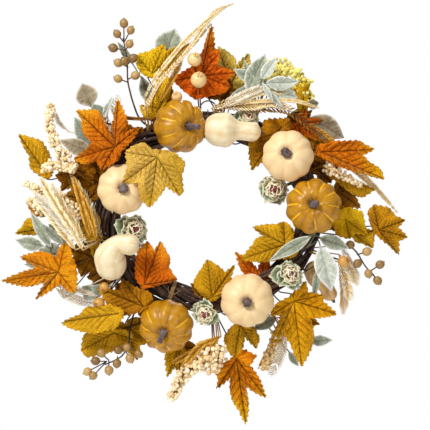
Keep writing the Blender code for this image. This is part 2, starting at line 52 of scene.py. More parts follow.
ringBox = [np.array(corner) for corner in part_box("vine_core")]
ring = {
    "centre": (ringBox[0] + ringBox[1]) / 2,
    "coreRadius": 6.4 * mm,
    "strandOffset": 11.8 * mm,
    "strandTurns": 3,
    "seed": 5,
}
ring["halfWidth"] = (ringBox[1] - ringBox[0])[0] / 2 - ring["coreRadius"]
ring["halfHeight"] = (ringBox[1] - ringBox[0])[2] / 2 - ring["coreRadius"]


def unit(vector):
    return vector / max(np.linalg.norm(vector), 1e-9)


def heading(degrees):
    angle = math.radians(degrees)
    return np.array([math.sin(angle), 0.0, math.cos(angle)])


def place(clock, out=0.0, ahead=0.0):
    angle = math.radians(clock)
    wide, high = ring["halfWidth"], ring["halfHeight"]
    reach = wide * high / math.hypot(high * math.sin(angle), wide * math.cos(angle))
    return ring["centre"] + heading(clock) * (reach + out * mm) + front * ahead * mm


def ringNormal(clock):
    return unit(np.cross(front, place(clock + 0.5) - place(clock - 0.5)))


def sectionWay(clock, turn):
    angle = math.radians(turn)
    return ringNormal(clock) * math.cos(angle) + front * math.sin(angle)


# mesh tools: a basket gathers the shapes of one piece

def newBasket():
    return {"points": [], "faces": [], "looks": [], "count": 0, "vein": [], "rim": [], "tone": [],
            "shade": []}


def addShape(basket, points, faces, look=0, vein=0.0, rim=0.0, tone=0.5, shade=0.0):
    points = np.asarray(points, float)
    start = basket["count"]
    basket["points"].append(points)
    basket["faces"].extend(tuple(corner + start for corner in face) for face in faces)
    basket["looks"].extend([look] * len(faces))
    for key, value in (("vein", vein), ("rim", rim), ("tone", tone), ("shade", shade)):
        basket[key].append(np.broadcast_to(np.asarray(value, float), (len(points),)))
    basket["count"] += len(points)


def makePiece(name, basket, looks, body="wreath", nodes=(), thick=None):
    mesh = bpy.data.meshes.new(name)
    mesh.from_pydata(np.concatenate(basket["points"]).tolist(), [], basket["faces"])
    for look in looks:
        mesh.materials.append(look)
    mesh.polygons.foreach_set("material_index", basket["looks"])
    for key in ("vein", "rim", "tone", "shade"):
        values = mesh.attributes.new(key, "FLOAT", "POINT")
        values.data.foreach_set("value", np.concatenate(basket[key]).astype(np.float32))
    mesh.shade_smooth()
    made = bpy.data.objects.new(name, mesh)
    bpy.context.scene.collection.objects.link(made)
    if thick:
        sheetSides = made.modifiers.new("leaf thickness", "SOLIDIFY")
        sheetSides.thickness = thick
        sheetSides.offset = 0
        sheetSides.material_offset = len(looks) // 2
    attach(made, body)
    if nodes:
        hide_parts(*nodes)
    return made


def smoothPath(points, steps=6):
    points = [np.asarray(point, float) for point in points]
    if len(points) < 3:
        return [points[0] + (points[-1] - points[0]) * step / steps for step in range(steps + 1)]
    padded = [2 * points[0] - points[1], *points, 2 * points[-1] - points[-2]]
    path = []
    for before, here, there, after in zip(padded, padded[1:], padded[2:], padded[3:]):
        for step in range(steps):
            t = step / steps
            bend = 2 * before - 5 * here + 4 * there - after
            twist = 3 * here - before - 3 * there + after
            path.append(0.5 * (2 * here + (there - before) * t + bend * t * t + twist * t ** 3))
    path.append(points[-1])
    return path


def tube(path, radii, sides=8, closed=False, lumps=0.0, rng=None):
    path = np.asarray(path, float)
    count = len(path)
    radii = np.broadcast_to(np.asarray(radii, float), (count,))
    if closed:
        along = np.roll(path, -1, 0) - np.roll(path, 1, 0)
    else:
        along = np.gradient(path, axis=0)
    along /= np.linalg.norm(along, axis=1)[:, None] + 1e-12
    side = unit(np.cross(along[0], [0.31, 0.17, 0.93]))
    angles = np.arange(sides) * 2 * math.pi / sides
    points = []
    for index in range(count):
        side = unit(side - along[index] * side.dot(along[index]))
        up = np.cross(along[index], side)
        ringRadius = radii[index] * np.ones(sides)
        if lumps:
            ringRadius = ringRadius * (1 + lumps * np.array([rng.uniform(-1, 1) for _ in angles]))
        points.append(path[index] + (np.outer(np.cos(angles), side) + np.outer(np.sin(angles), up))
                      * ringRadius[:, None])
    points = np.concatenate(points)
    faces = []
    for index in range(count if closed else count - 1):
        here, there = index * sides, (index + 1) % count * sides
        shift = 0
        if closed and index == count - 1:
            shift = int(np.argmin(np.linalg.norm(points[:sides] - points[here], axis=1)))
        for step in range(sides):
            nxt = (step + 1) % sides
            faces.append((here + step, here + nxt, there + (nxt + shift) % sides,
                          there + (step + shift) % sides))
    if not closed:
        faces.append(tuple(reversed(range(sides))))
        faces.append(tuple(range((count - 1) * sides, count * sides)))
    return points, faces


def turned(profile, axis, centre, sides, swell=None):
    # swell(angle, height share) scales the radius, for ribs and creases
    axis = unit(axis)
    side = unit(np.cross(axis, [0.13, 0.21, 0.97]))
    up = np.cross(axis, side)
    angles = np.arange(sides) * 2 * math.pi / sides
    points = [np.asarray(centre + axis * profile[0][1])[None]]
    for number, (radius, height) in enumerate(profile[1:-1]):
        scale = swell(angles, number / (len(profile) - 3)) if swell else np.ones(sides)
        across = np.outer(np.cos(angles), side) + np.outer(np.sin(angles), up)
        points.append(centre + axis * height + across
                      * (radius * scale)[:, None])
    points.append(np.asarray(centre + axis * profile[-1][1])[None])
    points = np.concatenate(points)
    rings, last = len(profile) - 2, len(points) - 1
    faces = []
    for step in range(sides):
        nxt = (step + 1) % sides
        faces.append((0, 1 + nxt, 1 + step))
        for number in range(rings - 1):
            here = 1 + number * sides
            faces.append((here + step, here + nxt, here + sides + nxt, here + sides + step))
        top = 1 + (rings - 1) * sides
        faces.append((top + step, top + nxt, last))
    return points, faces, angles


def ballShape(sides=12, rings=8):
    profile = [(math.sin(math.pi * step / rings),
                -math.cos(math.pi * step / rings)) for step in range(rings + 1)]
    points, faces, _ = turned(profile, np.array([0.0, 0.0, 1.0]), np.zeros(3), sides)
    return points, faces


# materials

def colour(text):
    channels = [int(text[index:index + 2], 16) / 255 for index in (1, 3, 5)]
    linear = [c / 12.92 if c <= 0.04045 else ((c + 0.055) / 1.055) ** 2.4 for c in channels]
    return (*linear, 1.0)


def addNode(tree, kind, settings=None, links=None):
    made = tree.nodes.new(kind)
    for key, value in (settings or {}).items():
        if key == "ramp":
            while len(made.color_ramp.elements) < len(value):
                made.color_ramp.elements.new(0.5)
            for element, (position, tint) in zip(made.color_ramp.elements, value):
                element.position = position
                element.color = colour(tint) if isinstance(tint, str) else (tint, tint, tint, 1)
        elif isinstance(key, int) or key in made.inputs:
            made.inputs[key].default_value = value
        else:
            setattr(made, key, value)
    for key, source in (links or {}).items():
        tree.links.new(source, made.inputs[key])
    return made


def newMaterial(name):
    made = bpy.data.materials.new(name)
    made.use_nodes = True
    tree = made.node_tree
    tree.nodes.clear()
    shader = addNode(tree, "ShaderNodeBsdfPrincipled")
    addNode(tree, "ShaderNodeOutputMaterial", links={"Surface": shader.outputs[0]})
    coords = addNode(tree, "ShaderNodeTexCoord").outputs["Object"]
    return made, tree, shader, coords


def perMetre(millimetres):
    return 1000.0 / millimetres


printedLeafLooks = {
    # deep shade, main, light, blush on one side, lobe tips, veins
    "mapleOrange": ("#a45402", "#e87c03", "#fb930b", "#d26903", "#ffb312", "#6e3201"),
    "mapleFlame": ("#c16f03", "#ffa106", "#ffbf22", "#f18a03", "#f4a818", "#7e4202"),
    "mapleBright": ("#b56101", "#ff9803", "#ffb609", "#eb7e02", "#ffd012", "#783c01"),
    "mapleAmber": ("#bd8204", "#ffb90b", "#ffd31a", "#ef9d05", "#f2b018", "#7e5003"),
    "mapleCinnamon": ("#ac5501", "#ff8c03", "#ffa805", "#e37602", "#ffc007", "#683001"),
    "mapleRust": ("#bc5103", "#fc7607", "#ff9216", "#ec6903", "#ffa91d", "#823c02"),
    "mapleRed": ("#aa4002", "#fa7103", "#ff9008", "#e95f03", "#ffab14", "#6c2801"),
    "ivyOchre": ("#aa7a0c", "#e8af15", "#ffc727", "#d6980d", "#e6ac18", "#7a5604"),
    "ivyHoney": ("#c0921a", "#eebb31", "#fbce61", "#fed07e", "#ecb61c", "#8e6a16"),
    "ivyGold": ("#ba8606", "#ffc811", "#ffdf20", "#f1b30b", "#f6be10", "#866005"),
    "ivyPale": ("#d79e44", "#ffde67", "#fff87e", "#f2cc50", "#f8d860", "#a8782a"),
    "ivyBrown": ("#7a4b03", "#cb8705", "#eda80e", "#b06e04", "#dc9c10", "#503003"),
    "ivyUmber": ("#5e3903", "#a86b07", "#cf8a11", "#975d05", "#c88614", "#3c2403"),
}


def printedLeaf(name, look, underside=False):
    # polyester satin, printed and heat-embossed: mottled dye, pressed veins, fine wrinkles between them
    deep, main, light, blush, tips, veins = printedLeafLooks[look]
    made, tree, shader, coords = newMaterial(name)
    blotch = addNode(tree, "ShaderNodeTexNoise", {"Scale": perMetre(11), "Detail": 7, "Roughness": 0.72},
                     {"Vector": coords})
    tone = addNode(tree, "ShaderNodeAttribute", {"attribute_name": "tone"})
    toned = addNode(tree, "ShaderNodeMath", {"operation": "MULTIPLY_ADD", 1: 0.26, 2: -0.13},
                    {0: tone.outputs["Fac"]})
    blend = addNode(tree, "ShaderNodeMath", {"operation": "ADD"},
                    {0: blotch.outputs["Fac"], 1: toned.outputs[0]})
    dye = addNode(tree, "ShaderNodeValToRGB", {"ramp": [(0.30, deep), (0.50, main), (0.70, light)]},
                  {"Fac": blend.outputs[0]})
    side = addNode(tree, "ShaderNodeAttribute", {"attribute_name": "shade"})
    blushed = addNode(tree, "ShaderNodeMix", {"data_type": "RGBA", 7: colour(blush)},
                      {0: side.outputs["Fac"], 6: dye.outputs["Color"]})
    rim = addNode(tree, "ShaderNodeAttribute", {"attribute_name": "rim"})
    edge = addNode(tree, "ShaderNodeMapRange", {"From Min": 0.45, "From Max": 0.95, "To Max": 0.85},
                   {"Value": rim.outputs["Fac"]})
    tipped = addNode(tree, "ShaderNodeMix", {"data_type": "RGBA", 7: colour(tips)},
                     {0: edge.outputs[0], 6: blushed.outputs[2]})
    vein = addNode(tree, "ShaderNodeAttribute", {"attribute_name": "vein"})
    # the network between the ribs has meshes of about 2.6 mm
    network = addNode(tree, "ShaderNodeTexVoronoi", {"feature": "DISTANCE_TO_EDGE", "Scale": perMetre(2.6)},
                      {"Vector": coords})
    netLines = addNode(tree, "ShaderNodeMapRange", {"From Max": 0.16, "To Min": 0.42, "To Max": 0.0},
                       {"Value": network.outputs["Distance"]})
    veinAll = addNode(tree, "ShaderNodeMath", {"operation": "MAXIMUM"},
                      {0: vein.outputs["Fac"], 1: netLines.outputs[0]})
    veinShare = addNode(tree, "ShaderNodeMath", {"operation": "MULTIPLY", 1: 0.30 if underside else 0.86},
                        {0: veinAll.outputs[0]})
    ribbed = addNode(tree, "ShaderNodeMix", {"data_type": "RGBA", 7: colour(veins)},
                     {0: veinShare.outputs[0], 6: tipped.outputs[2]})
    final = ribbed
    if underside:
        final = addNode(tree, "ShaderNodeMix", {"data_type": "RGBA", 0: 0.32, 7: colour("#c09a5c")},
                        {6: ribbed.outputs[2]})
    tree.links.new(final.outputs[2], shader.inputs["Base Color"])
    wrinkle = addNode(tree, "ShaderNodeTexNoise", {"Scale": perMetre(3.2), "Detail": 5, "Roughness": 0.6},
                      {"Vector": coords})
    sunk = addNode(tree, "ShaderNodeMath", {"operation": "MULTIPLY_ADD", 1: -1.1},
                   {0: netLines.outputs[0], 2: wrinkle.outputs["Fac"]})
    bump = addNode(tree, "ShaderNodeBump", {"Strength": 0.9, "Distance": 0.0016},
                   {"Height": sunk.outputs[0]})
    tree.links.new(bump.outputs[0], shader.inputs["Normal"])
    shader.inputs["Roughness"].default_value = 0.5
    shader.inputs["Specular IOR Level"].default_value = 0.12
    return made


flockLooks = {
    # deep shade, main, light, fluffy rim, veins
    "flockedSage": ("#7c8270", "#a2a892", "#bdc2ae", "#e8eae0", "#666c58"),
    "flockedPale": ("#a9b09e", "#ccd1c2", "#e0e4d8", "#f6f7f1", "#949b88"),
    "flockedSlate": ("#6a7062", "#8c9280", "#a6ab98", "#cdd0c2", "#565c4c"),
    "feltedMagnolia": ("#74664e", "#9e8f74", "#b6a88c", "#d2cab4", "#5e503c"),
}


def flockedLeaf(name, look, underside=False):
    # polyester flock on a soft leaf: powdery, with pale fluffy rims
    deep, main, light, fluff, veins = flockLooks[look]
    made, tree, shader, coords = newMaterial(name)
    blotch = addNode(tree, "ShaderNodeTexNoise", {"Scale": perMetre(8), "Detail": 7, "Roughness": 0.72},
                     {"Vector": coords})
    dye = addNode(tree, "ShaderNodeValToRGB", {"ramp": [(0.32, deep), (0.50, main), (0.68, light)]},
                  {"Fac": blotch.outputs["Fac"]})
    rim = addNode(tree, "ShaderNodeAttribute", {"attribute_name": "rim"})
    ragged = addNode(tree, "ShaderNodeTexNoise", {"Scale": perMetre(1.3), "Detail": 2}, {"Vector": coords})
    wobble = addNode(tree, "ShaderNodeMath", {"operation": "MULTIPLY_ADD", 1: 0.30},
                     {0: ragged.outputs["Fac"], 2: rim.outputs["Fac"]})
    edge = addNode(tree, "ShaderNodeMapRange", {"From Min": 0.96, "From Max": 1.12, "To Max": 0.85},
                   {"Value": wobble.outputs[0]})
    fluffy = addNode(tree, "ShaderNodeMix", {"data_type": "RGBA", 7: colour(fluff)},
                     {0: edge.outputs[0], 6: dye.outputs["Color"]})
    vein = addNode(tree, "ShaderNodeAttribute", {"attribute_name": "vein"})
    veinShare = addNode(tree, "ShaderNodeMath", {"operation": "MULTIPLY", 1: 0.5}, {0: vein.outputs["Fac"]})
    ribbed = addNode(tree, "ShaderNodeMix", {"data_type": "RGBA", 7: colour(veins)},
                     {0: veinShare.outputs[0], 6: fluffy.outputs[2]})
    final = ribbed
    if underside:
        final = addNode(tree, "ShaderNodeMix", {"data_type": "RGBA", 0: 0.5, 7: colour("#c7ccbe")},
                        {6: ribbed.outputs[2]})
    tree.links.new(final.outputs[2], shader.inputs["Base Color"])
    # flock fibres of 0.1 mm, drawn at 0.7 mm
    fibres = addNode(tree, "ShaderNodeTexNoise", {"Scale": perMetre(0.7), "Detail": 3}, {"Vector": coords})
    bump = addNode(tree, "ShaderNodeBump", {"Strength": 0.6, "Distance": 0.0006},
                   {"Height": fibres.outputs["Fac"]})
    tree.links.new(bump.outputs[0], shader.inputs["Normal"])
    shader.inputs["Roughness"].default_value = 0.95
    shader.inputs["Sheen Weight"].default_value = 0.25
    shader.inputs["Sheen Roughness"].default_value = 0.5
    shader.inputs["Specular IOR Level"].default_value = 0.12
    return made


def paintedFoam(name, mottleAndCreaseShade, main, light, streak, roughness, streakAndHighlightShare):
    # carved foam with brushed acrylic, satin. Painted shade darkens the creases; the streak colour is real
    # yellow streaking on the gold pumpkins and a painted highlight on the cream pumpkins' crown and the
    # gourds' ridges, broken by a brushed mottle
    made, tree, shader, coords = newMaterial(name)
    blotch = addNode(tree, "ShaderNodeTexNoise", {"Scale": perMetre(11), "Detail": 6, "Roughness": 0.6},
                     {"Vector": coords})
    paint = addNode(tree, "ShaderNodeValToRGB", {"ramp": [(0.20, mottleAndCreaseShade), (0.48, main), (0.74, light)]},
                    {"Fac": blotch.outputs["Fac"]})
    # painted shade: the crease mask mixes the dark paint colour into each groove
    crease = addNode(tree, "ShaderNodeAttribute", {"attribute_name": "vein"})
    creaseShadeShare = addNode(tree, "ShaderNodeMath", {"operation": "MULTIPLY", 1: 0.85},
                          {0: crease.outputs["Fac"]})
    creaseShaded = addNode(tree, "ShaderNodeMix", {"data_type": "RGBA", 7: colour(mottleAndCreaseShade)},
                      {0: creaseShadeShare.outputs[0], 6: paint.outputs["Color"]})
    brushed = addNode(tree, "ShaderNodeTexNoise", {"Scale": perMetre(2.2), "Detail": 3}, {"Vector": coords})
    # the streak mask: real streaks on gold pumpkins, a painted highlight on the cream pumpkins and the
    # gourds
    streakAndHighlightMask = addNode(tree, "ShaderNodeAttribute", {"attribute_name": "shade"})
    broken = addNode(tree, "ShaderNodeMath", {"operation": "MULTIPLY_ADD", 1: 0.9, 2: -0.45},
                     {0: brushed.outputs["Fac"]})
    summed = addNode(tree, "ShaderNodeMath", {"operation": "ADD"},
                     {0: streakAndHighlightMask.outputs["Fac"], 1: broken.outputs[0]})
    share = addNode(tree, "ShaderNodeMapRange", {"From Min": 0.3, "From Max": 0.7, "To Max": streakAndHighlightShare},
                    {"Value": summed.outputs[0]})
    final = addNode(tree, "ShaderNodeMix", {"data_type": "RGBA", 7: colour(streak)},
                    {0: share.outputs[0], 6: creaseShaded.outputs[2]})
    tree.links.new(final.outputs[2], shader.inputs["Base Color"])
    pits = addNode(tree, "ShaderNodeTexNoise", {"Scale": perMetre(1.6), "Detail": 4}, {"Vector": coords})
    bump = addNode(tree, "ShaderNodeBump", {"Strength": 0.22, "Distance": 0.0005},
                   {"Height": pits.outputs["Fac"]})
    tree.links.new(bump.outputs[0], shader.inputs["Normal"])
    shader.inputs["Roughness"].default_value = roughness
    shader.inputs["IOR"].default_value = 1.48
    shader.inputs["Subsurface Weight"].default_value = 0.06
    shader.inputs["Subsurface Radius"].default_value = (0.004, 0.003, 0.002)
    return made


def driedStem(name, dark, light, roughness=0.85, scale=2.4):
    # dried stalk or vine bark: matte, streaked along its length by shrinkage
    made, tree, shader, coords = newMaterial(name)
    streak = addNode(tree, "ShaderNodeTexNoise", {"Scale": perMetre(scale), "Detail": 6, "Roughness": 0.7},
                     {"Vector": coords})
    blotch = addNode(tree, "ShaderNodeTexNoise", {"Scale": perMetre(scale * 6), "Detail": 3},
                     {"Vector": coords})
    both = addNode(tree, "ShaderNodeMath", {"operation": "MULTIPLY"},
                   {0: streak.outputs["Fac"], 1: blotch.outputs["Fac"]})
    dye = addNode(tree, "ShaderNodeValToRGB", {"ramp": [(0.16, dark), (0.42, light)]},
                  {"Fac": both.outputs[0]})
    tree.links.new(dye.outputs["Color"], shader.inputs["Base Color"])
    bump = addNode(tree, "ShaderNodeBump", {"Strength": 0.7, "Distance": 0.0008},
                   {"Height": streak.outputs["Fac"]})
    tree.links.new(bump.outputs[0], shader.inputs["Normal"])
    shader.inputs["Roughness"].default_value = roughness
    return made


def beadPaint(name, dark, main, light, roughness, coat=0.0):
    # lacquered or dusted foam beads: each one a little lighter or darker than the next
    made, tree, shader, coords = newMaterial(name)
    tone = addNode(tree, "ShaderNodeAttribute", {"attribute_name": "tone"})
    speck = addNode(tree, "ShaderNodeTexNoise", {"Scale": perMetre(2.5), "Detail": 3}, {"Vector": coords})
    blend = addNode(tree, "ShaderNodeMath", {"operation": "MULTIPLY_ADD", 1: 0.35},
                    {0: speck.outputs["Fac"], 2: tone.outputs["Fac"]})
    dye = addNode(tree, "ShaderNodeValToRGB", {"ramp": [(0.20, dark), (0.62, main), (1.0, light)]},
                  {"Fac": blend.outputs[0]})
    tree.links.new(dye.outputs["Color"], shader.inputs["Base Color"])
    shader.inputs["Roughness"].default_value = roughness
    shader.inputs["Coat Weight"].default_value = coat
    shader.inputs["Coat Roughness"].default_value = 0.25
    return made


def dryGrass(name, root, main, tip):
    # bleached and dyed grass: fibres darken from tip to root, with a faint straw gloss
    made, tree, shader, _ = newMaterial(name)
    rim = addNode(tree, "ShaderNodeAttribute", {"attribute_name": "rim"})
    tone = addNode(tree, "ShaderNodeAttribute", {"attribute_name": "tone"})
    blend = addNode(tree, "ShaderNodeMath", {"operation": "MULTIPLY_ADD", 1: 0.5},
                    {0: tone.outputs["Fac"], 2: rim.outputs["Fac"]})
    dye = addNode(tree, "ShaderNodeValToRGB", {"ramp": [(0.15, root), (0.65, main), (1.1, tip)]},
                  {"Fac": blend.outputs[0]})
    tree.links.new(dye.outputs["Color"], shader.inputs["Base Color"])
    shader.inputs["Roughness"].default_value = 0.7
    shader.inputs["Specular IOR Level"].default_value = 0.25
    return made


def budPetal(name):
    # powdered foam petals: sage on the outer ones, cream-tan inside, chalky rims
    made, tree, shader, coords = newMaterial(name)
    grain = addNode(tree, "ShaderNodeTexNoise", {"Scale": perMetre(2.4), "Detail": 6, "Roughness": 0.75},
                    {"Vector": coords})
    rim = addNode(tree, "ShaderNodeAttribute", {"attribute_name": "rim"})
    dusted = addNode(tree, "ShaderNodeMath", {"operation": "MULTIPLY_ADD", 1: 0.62},
                     {0: rim.outputs["Fac"], 2: grain.outputs["Fac"]})
    sage = addNode(tree, "ShaderNodeValToRGB",
                   {"ramp": [(0.34, "#34432c"), (0.58, "#6c7c58"), (0.84, "#a4b08e"), (1.0, "#e2e0c4")]},
                   {"Fac": dusted.outputs[0]})
    tan = addNode(tree, "ShaderNodeValToRGB",
                  {"ramp": [(0.34, "#5a3c1c"), (0.54, "#b08a4c"), (0.76, "#e6cc90"), (1.0, "#f6ecd0")]},
                  {"Fac": dusted.outputs[0]})
    inner = addNode(tree, "ShaderNodeAttribute", {"attribute_name": "shade"})
    blend = addNode(tree, "ShaderNodeMix", {"data_type": "RGBA"},
                    {0: inner.outputs["Fac"], 6: sage.outputs["Color"], 7: tan.outputs["Color"]})
    tree.links.new(blend.outputs[2], shader.inputs["Base Color"])
    bump = addNode(tree, "ShaderNodeBump", {"Strength": 0.5, "Distance": 0.0006},
                   {"Height": grain.outputs["Fac"]})
    tree.links.new(bump.outputs[0], shader.inputs["Normal"])
    shader.inputs["Roughness"].default_value = 0.9
    shader.inputs["Specular IOR Level"].default_value = 0.15
    return made


def drawnWire(name):
    # annealed steel wire: dull grey, faintly scored along its length by the die
    made, tree, shader, coords = newMaterial(name)
    scores = addNode(tree, "ShaderNodeTexNoise", {"Scale": perMetre(0.8), "Detail": 5}, {"Vector": coords})
    dye = addNode(tree, "ShaderNodeValToRGB", {"ramp": [(0.3, "#5b5955"), (0.7, "#8a8782")]},
                  {"Fac": scores.outputs["Fac"]})
    tree.links.new(dye.outputs["Color"], shader.inputs["Base Color"])
    shader.inputs["Metallic"].default_value = 1.0
    shader.inputs["Roughness"].default_value = 0.42
    return made


def chalkyFloor(name):
    made, tree, shader, coords = newMaterial(name)
    shade = addNode(tree, "ShaderNodeTexNoise", {"Scale": 3, "Detail": 2}, {"Vector": coords})
    dye = addNode(tree, "ShaderNodeValToRGB", {"ramp": [(0.3, "#f1f0ee"), (0.7, "#f6f5f3")]},
                  {"Fac": shade.outputs["Fac"]})
    tree.links.new(dye.outputs["Color"], shader.inputs["Base Color"])
    shader.inputs["Roughness"].default_value = 0.8
    shader.inputs["Emission Color"].default_value = (1, 1, 1, 1)
    shader.inputs["Emission Strength"].default_value = 0.2
    return made


leafLooks = {look: (printedLeaf(look, look), printedLeaf(f"{look}Underside", look, True))
             for look in printedLeafLooks}
leafLooks.update({look: (flockedLeaf(look, look), flockedLeaf(f"{look}Underside", look, True))
                  for look in flockLooks})
# each foam: dark mottle tone that is also the painted crease shade, main, light, then the streak colour
# (real yellow streaks on gold, a painted highlight on cream, ivory and tan), roughness and streak share
goldFoam = paintedFoam("goldPaintedFoam", "#7a4c00", "#b97f02", "#cd960c", "#f8ba10", 0.34, 0.95)
creamFoam = paintedFoam("creamPaintedFoam", "#e2b274", "#efc88c", "#f6d8a4", "#f9e0b2", 0.45, 0.4)
ivoryFoam = paintedFoam("ivoryPaintedFoam", "#dcbf8c", "#ecd6aa", "#f6e8c6", "#f8eed2", 0.40, 0.5)
tanFoam = paintedFoam("tanPaintedFoam", "#b08044", "#d2a868", "#dfbe88", "#eed8aa", 0.5, 0.4)
stemBark = driedStem("driedPumpkinStem", "#3a2422", "#96827e")
vineBark = driedStem("grapevineBark", "#1a0f0a", "#6e4f3c", 0.8)
twigBark = driedStem("wrappedWireStem", "#352018", "#6e4c3a", 0.7)
greenTwig = driedStem("wrappedGreenStem", "#5c6448", "#98a084", 0.8)
raffiaTwist = driedStem("raffiaTwist", "#8a6a40", "#cdb283", 0.85)
tanBerry = beadPaint("lacqueredTanBerry", "#7e5c2c", "#a88248", "#cba665", 0.42, 0.2)
ivoryHip = beadPaint("satinIvoryHip", "#e0b878", "#f0cc8c", "#f8dca4", 0.4, 0.15)
amberHip = beadPaint("satinAmberHip", "#b07a2c", "#cf9844", "#e2b060", 0.4, 0.2)
creamBead = beadPaint("dustedCreamBead", "#dcb67c", "#f8e0b0", "#fff2d2", 0.6)
limeBead = beadPaint("dustedLimeBead", "#c8b840", "#f0e070", "#fbf2a4", 0.6)
tanBead = beadPaint("dustedTanBead", "#b08a4c", "#d6b47c", "#ead0a0", 0.6)
whiteGrass = dryGrass("bleachedWhiteGrass", "#c8b088", "#f2e6cc", "#fdf8ec")
creamGrass = dryGrass("bleachedGrass", "#a88044", "#ecce90", "#fbecc4")
goldGrass = dryGrass("goldenGrass", "#744a0c", "#bb841e", "#dcab48")
brownGrass = dryGrass("brownGrass", "#4e2c10", "#80521e", "#a4742c")
petalSkin = budPetal("powderedPetal")
petalHeart = beadPaint("darkHeart", "#4a1a14", "#7a2c22", "#94433a", 0.6)
hangerWire = drawnWire("annealedWire")
print("materials ready")

# grapevine ring

canes = {
    # offsets, radii and sway in mm, swings in degrees about the bundle
    "stations": 150,
    "core": {"count": 4, "offset": 3.2, "turns": 2, "radius": 2.7, "sway": 0.4},
    "strands": 4,
    "inStrand": [(0.0, 0, 2.1), (2.2, 18, 1.7), (1.4, -20, 1.8), (3.4, 2, 1.3), (-1.8, 32, 1.6),
                 (-1.6, -36, 1.5)],
    "sway": 0.5,
}
tendrils = {
    # each springs off at a clock and a turn about the bundle and runs this far
    "root": 13, "rise": 7, "steps": 14,
    "spots": [(232, 60, 40), (262, 200, 36), (100, 130, 42), (8, 120, 38), (330, 50, 34), (205, 150, 38),
              (150, 260, 36), (60, 240, 34)],
}


def buildVines():
    rng = random.Random(ring["seed"])
    stations = canes["stations"]

    def vine(offset, turns, start, radius, wander):
        phases = [rng.uniform(0, 6.28) for _ in range(3)]
        path, radii = [], []
        for step in range(stations):
            clock = 360 * step / stations
            sway = sum(wander * math.sin(math.radians(clock) * (number + 2) + phase)
                       for number, phase in enumerate(phases))
            turn = start + turns * clock + 9 * math.sin(math.radians(clock) * 4 + phases[0])
            path.append(place(clock) + sectionWay(clock, turn) * (offset + sway * mm))
            knot = 1 + 0.35 * max(0, math.sin(math.radians(clock) * 11 + phases[1])) ** 12
            radii.append(radius * mm * knot * (1 + 0.08 * math.sin(math.radians(clock) * 7 + phases[2])))
        return tube(path, radii, 8, True, 0.07, rng)

    inner = canes["core"]
    core = newBasket()
    for number in range(inner["count"]):
        start = 360 // inner["count"] * number
        addShape(core, *vine(inner["offset"] * mm, inner["turns"], start, inner["radius"], inner["sway"]),
                 tone=rng.random())
    makePiece("vineCore", core, [vineBark], nodes=["vine_core"])
    for number in range(canes["strands"]):
        strand = newBasket()
        start = 360 // canes["strands"] * number
        for offset, swing, radius in canes["inStrand"]:
            addShape(strand, *vine(ring["strandOffset"] + offset * mm, ring["strandTurns"], start + swing,
                                   radius, canes["sway"]), tone=rng.random())
        makePiece(f"vineStrand{number + 1}", strand, [vineBark], nodes=[f"vine_strand_{number + 1}"])
    loose = newBasket()
    steps = tendrils["steps"]
    for clock, turn, length in tendrils["spots"]:
        start = place(clock) + sectionWay(clock, turn) * tendrils["root"] * mm
        path = []
        for step in range(steps):
            share = step / (steps - 1)
            reach = tendrils["root"] + tendrils["rise"] * math.sin(math.pi * share)
            way = sectionWay(clock + share * 20, turn + 110 * share)
            away = place(clock + share * length * 0.55) + way * reach * mm
            path.append(away if step else start)
        radii = np.linspace(1.3, 0.5, 2 * steps - 1) * mm
        addShape(loose, *tube(smoothPath(path, 2), radii, 6, False, 0.05, rng))
    makePiece("vineTendrils", loose, [vineBark])


# two raffia strands wound round the bundle, radii in mm and clock spread in degrees
tie = {"clock": 204, "strands": 2, "turns": 3, "steps": 34, "spread": 2.4, "apart": 0.5,
       "reach": 16.2, "layer": 0.4, "radius": 0.55, "tip": 0.3, "seed": 3}


def buildTie():
    basket = newBasket()
    rng = random.Random(tie["seed"])
    middle, steps = tie["clock"], tie["steps"]
    whole = tie["turns"] * steps
    for strand in range(tie["strands"]):
        path = []
        for step in range(whole + 1):
            angle = 360 * step / steps
            clock = middle + (step / whole - 0.5) * tie["spread"] + strand * tie["apart"]
            reach = tie["reach"] + tie["layer"] * strand
            path.append(place(clock) + sectionWay(clock, angle + 40 * strand) * reach * mm)
        addShape(basket, *tube(path, tie["radius"] * mm, 6, False, 0.2, rng))
    for sign in (-1, 1):
        tail = [place(middle + sign, 0, 16), place(middle + 3 * sign, -4, 18),
                place(middle + 4 * sign, -8, 18)]
        addShape(basket, *tube(smoothPath(tail), np.linspace(tie["radius"], tie["tip"], 13) * mm, 6))
    makePiece("raffiaTie", basket, [raffiaTwist], nodes=["vine_tie"])


hanger = {"wire": 0.9 * mm, "halfWidth": 10 * mm, "height": 30 * mm, "bandReach": 17.5 * mm,
          "eye": 2.1 * mm, "eyeWire": 0.95, "straight": 0.85, "corner": 1.6 * mm}


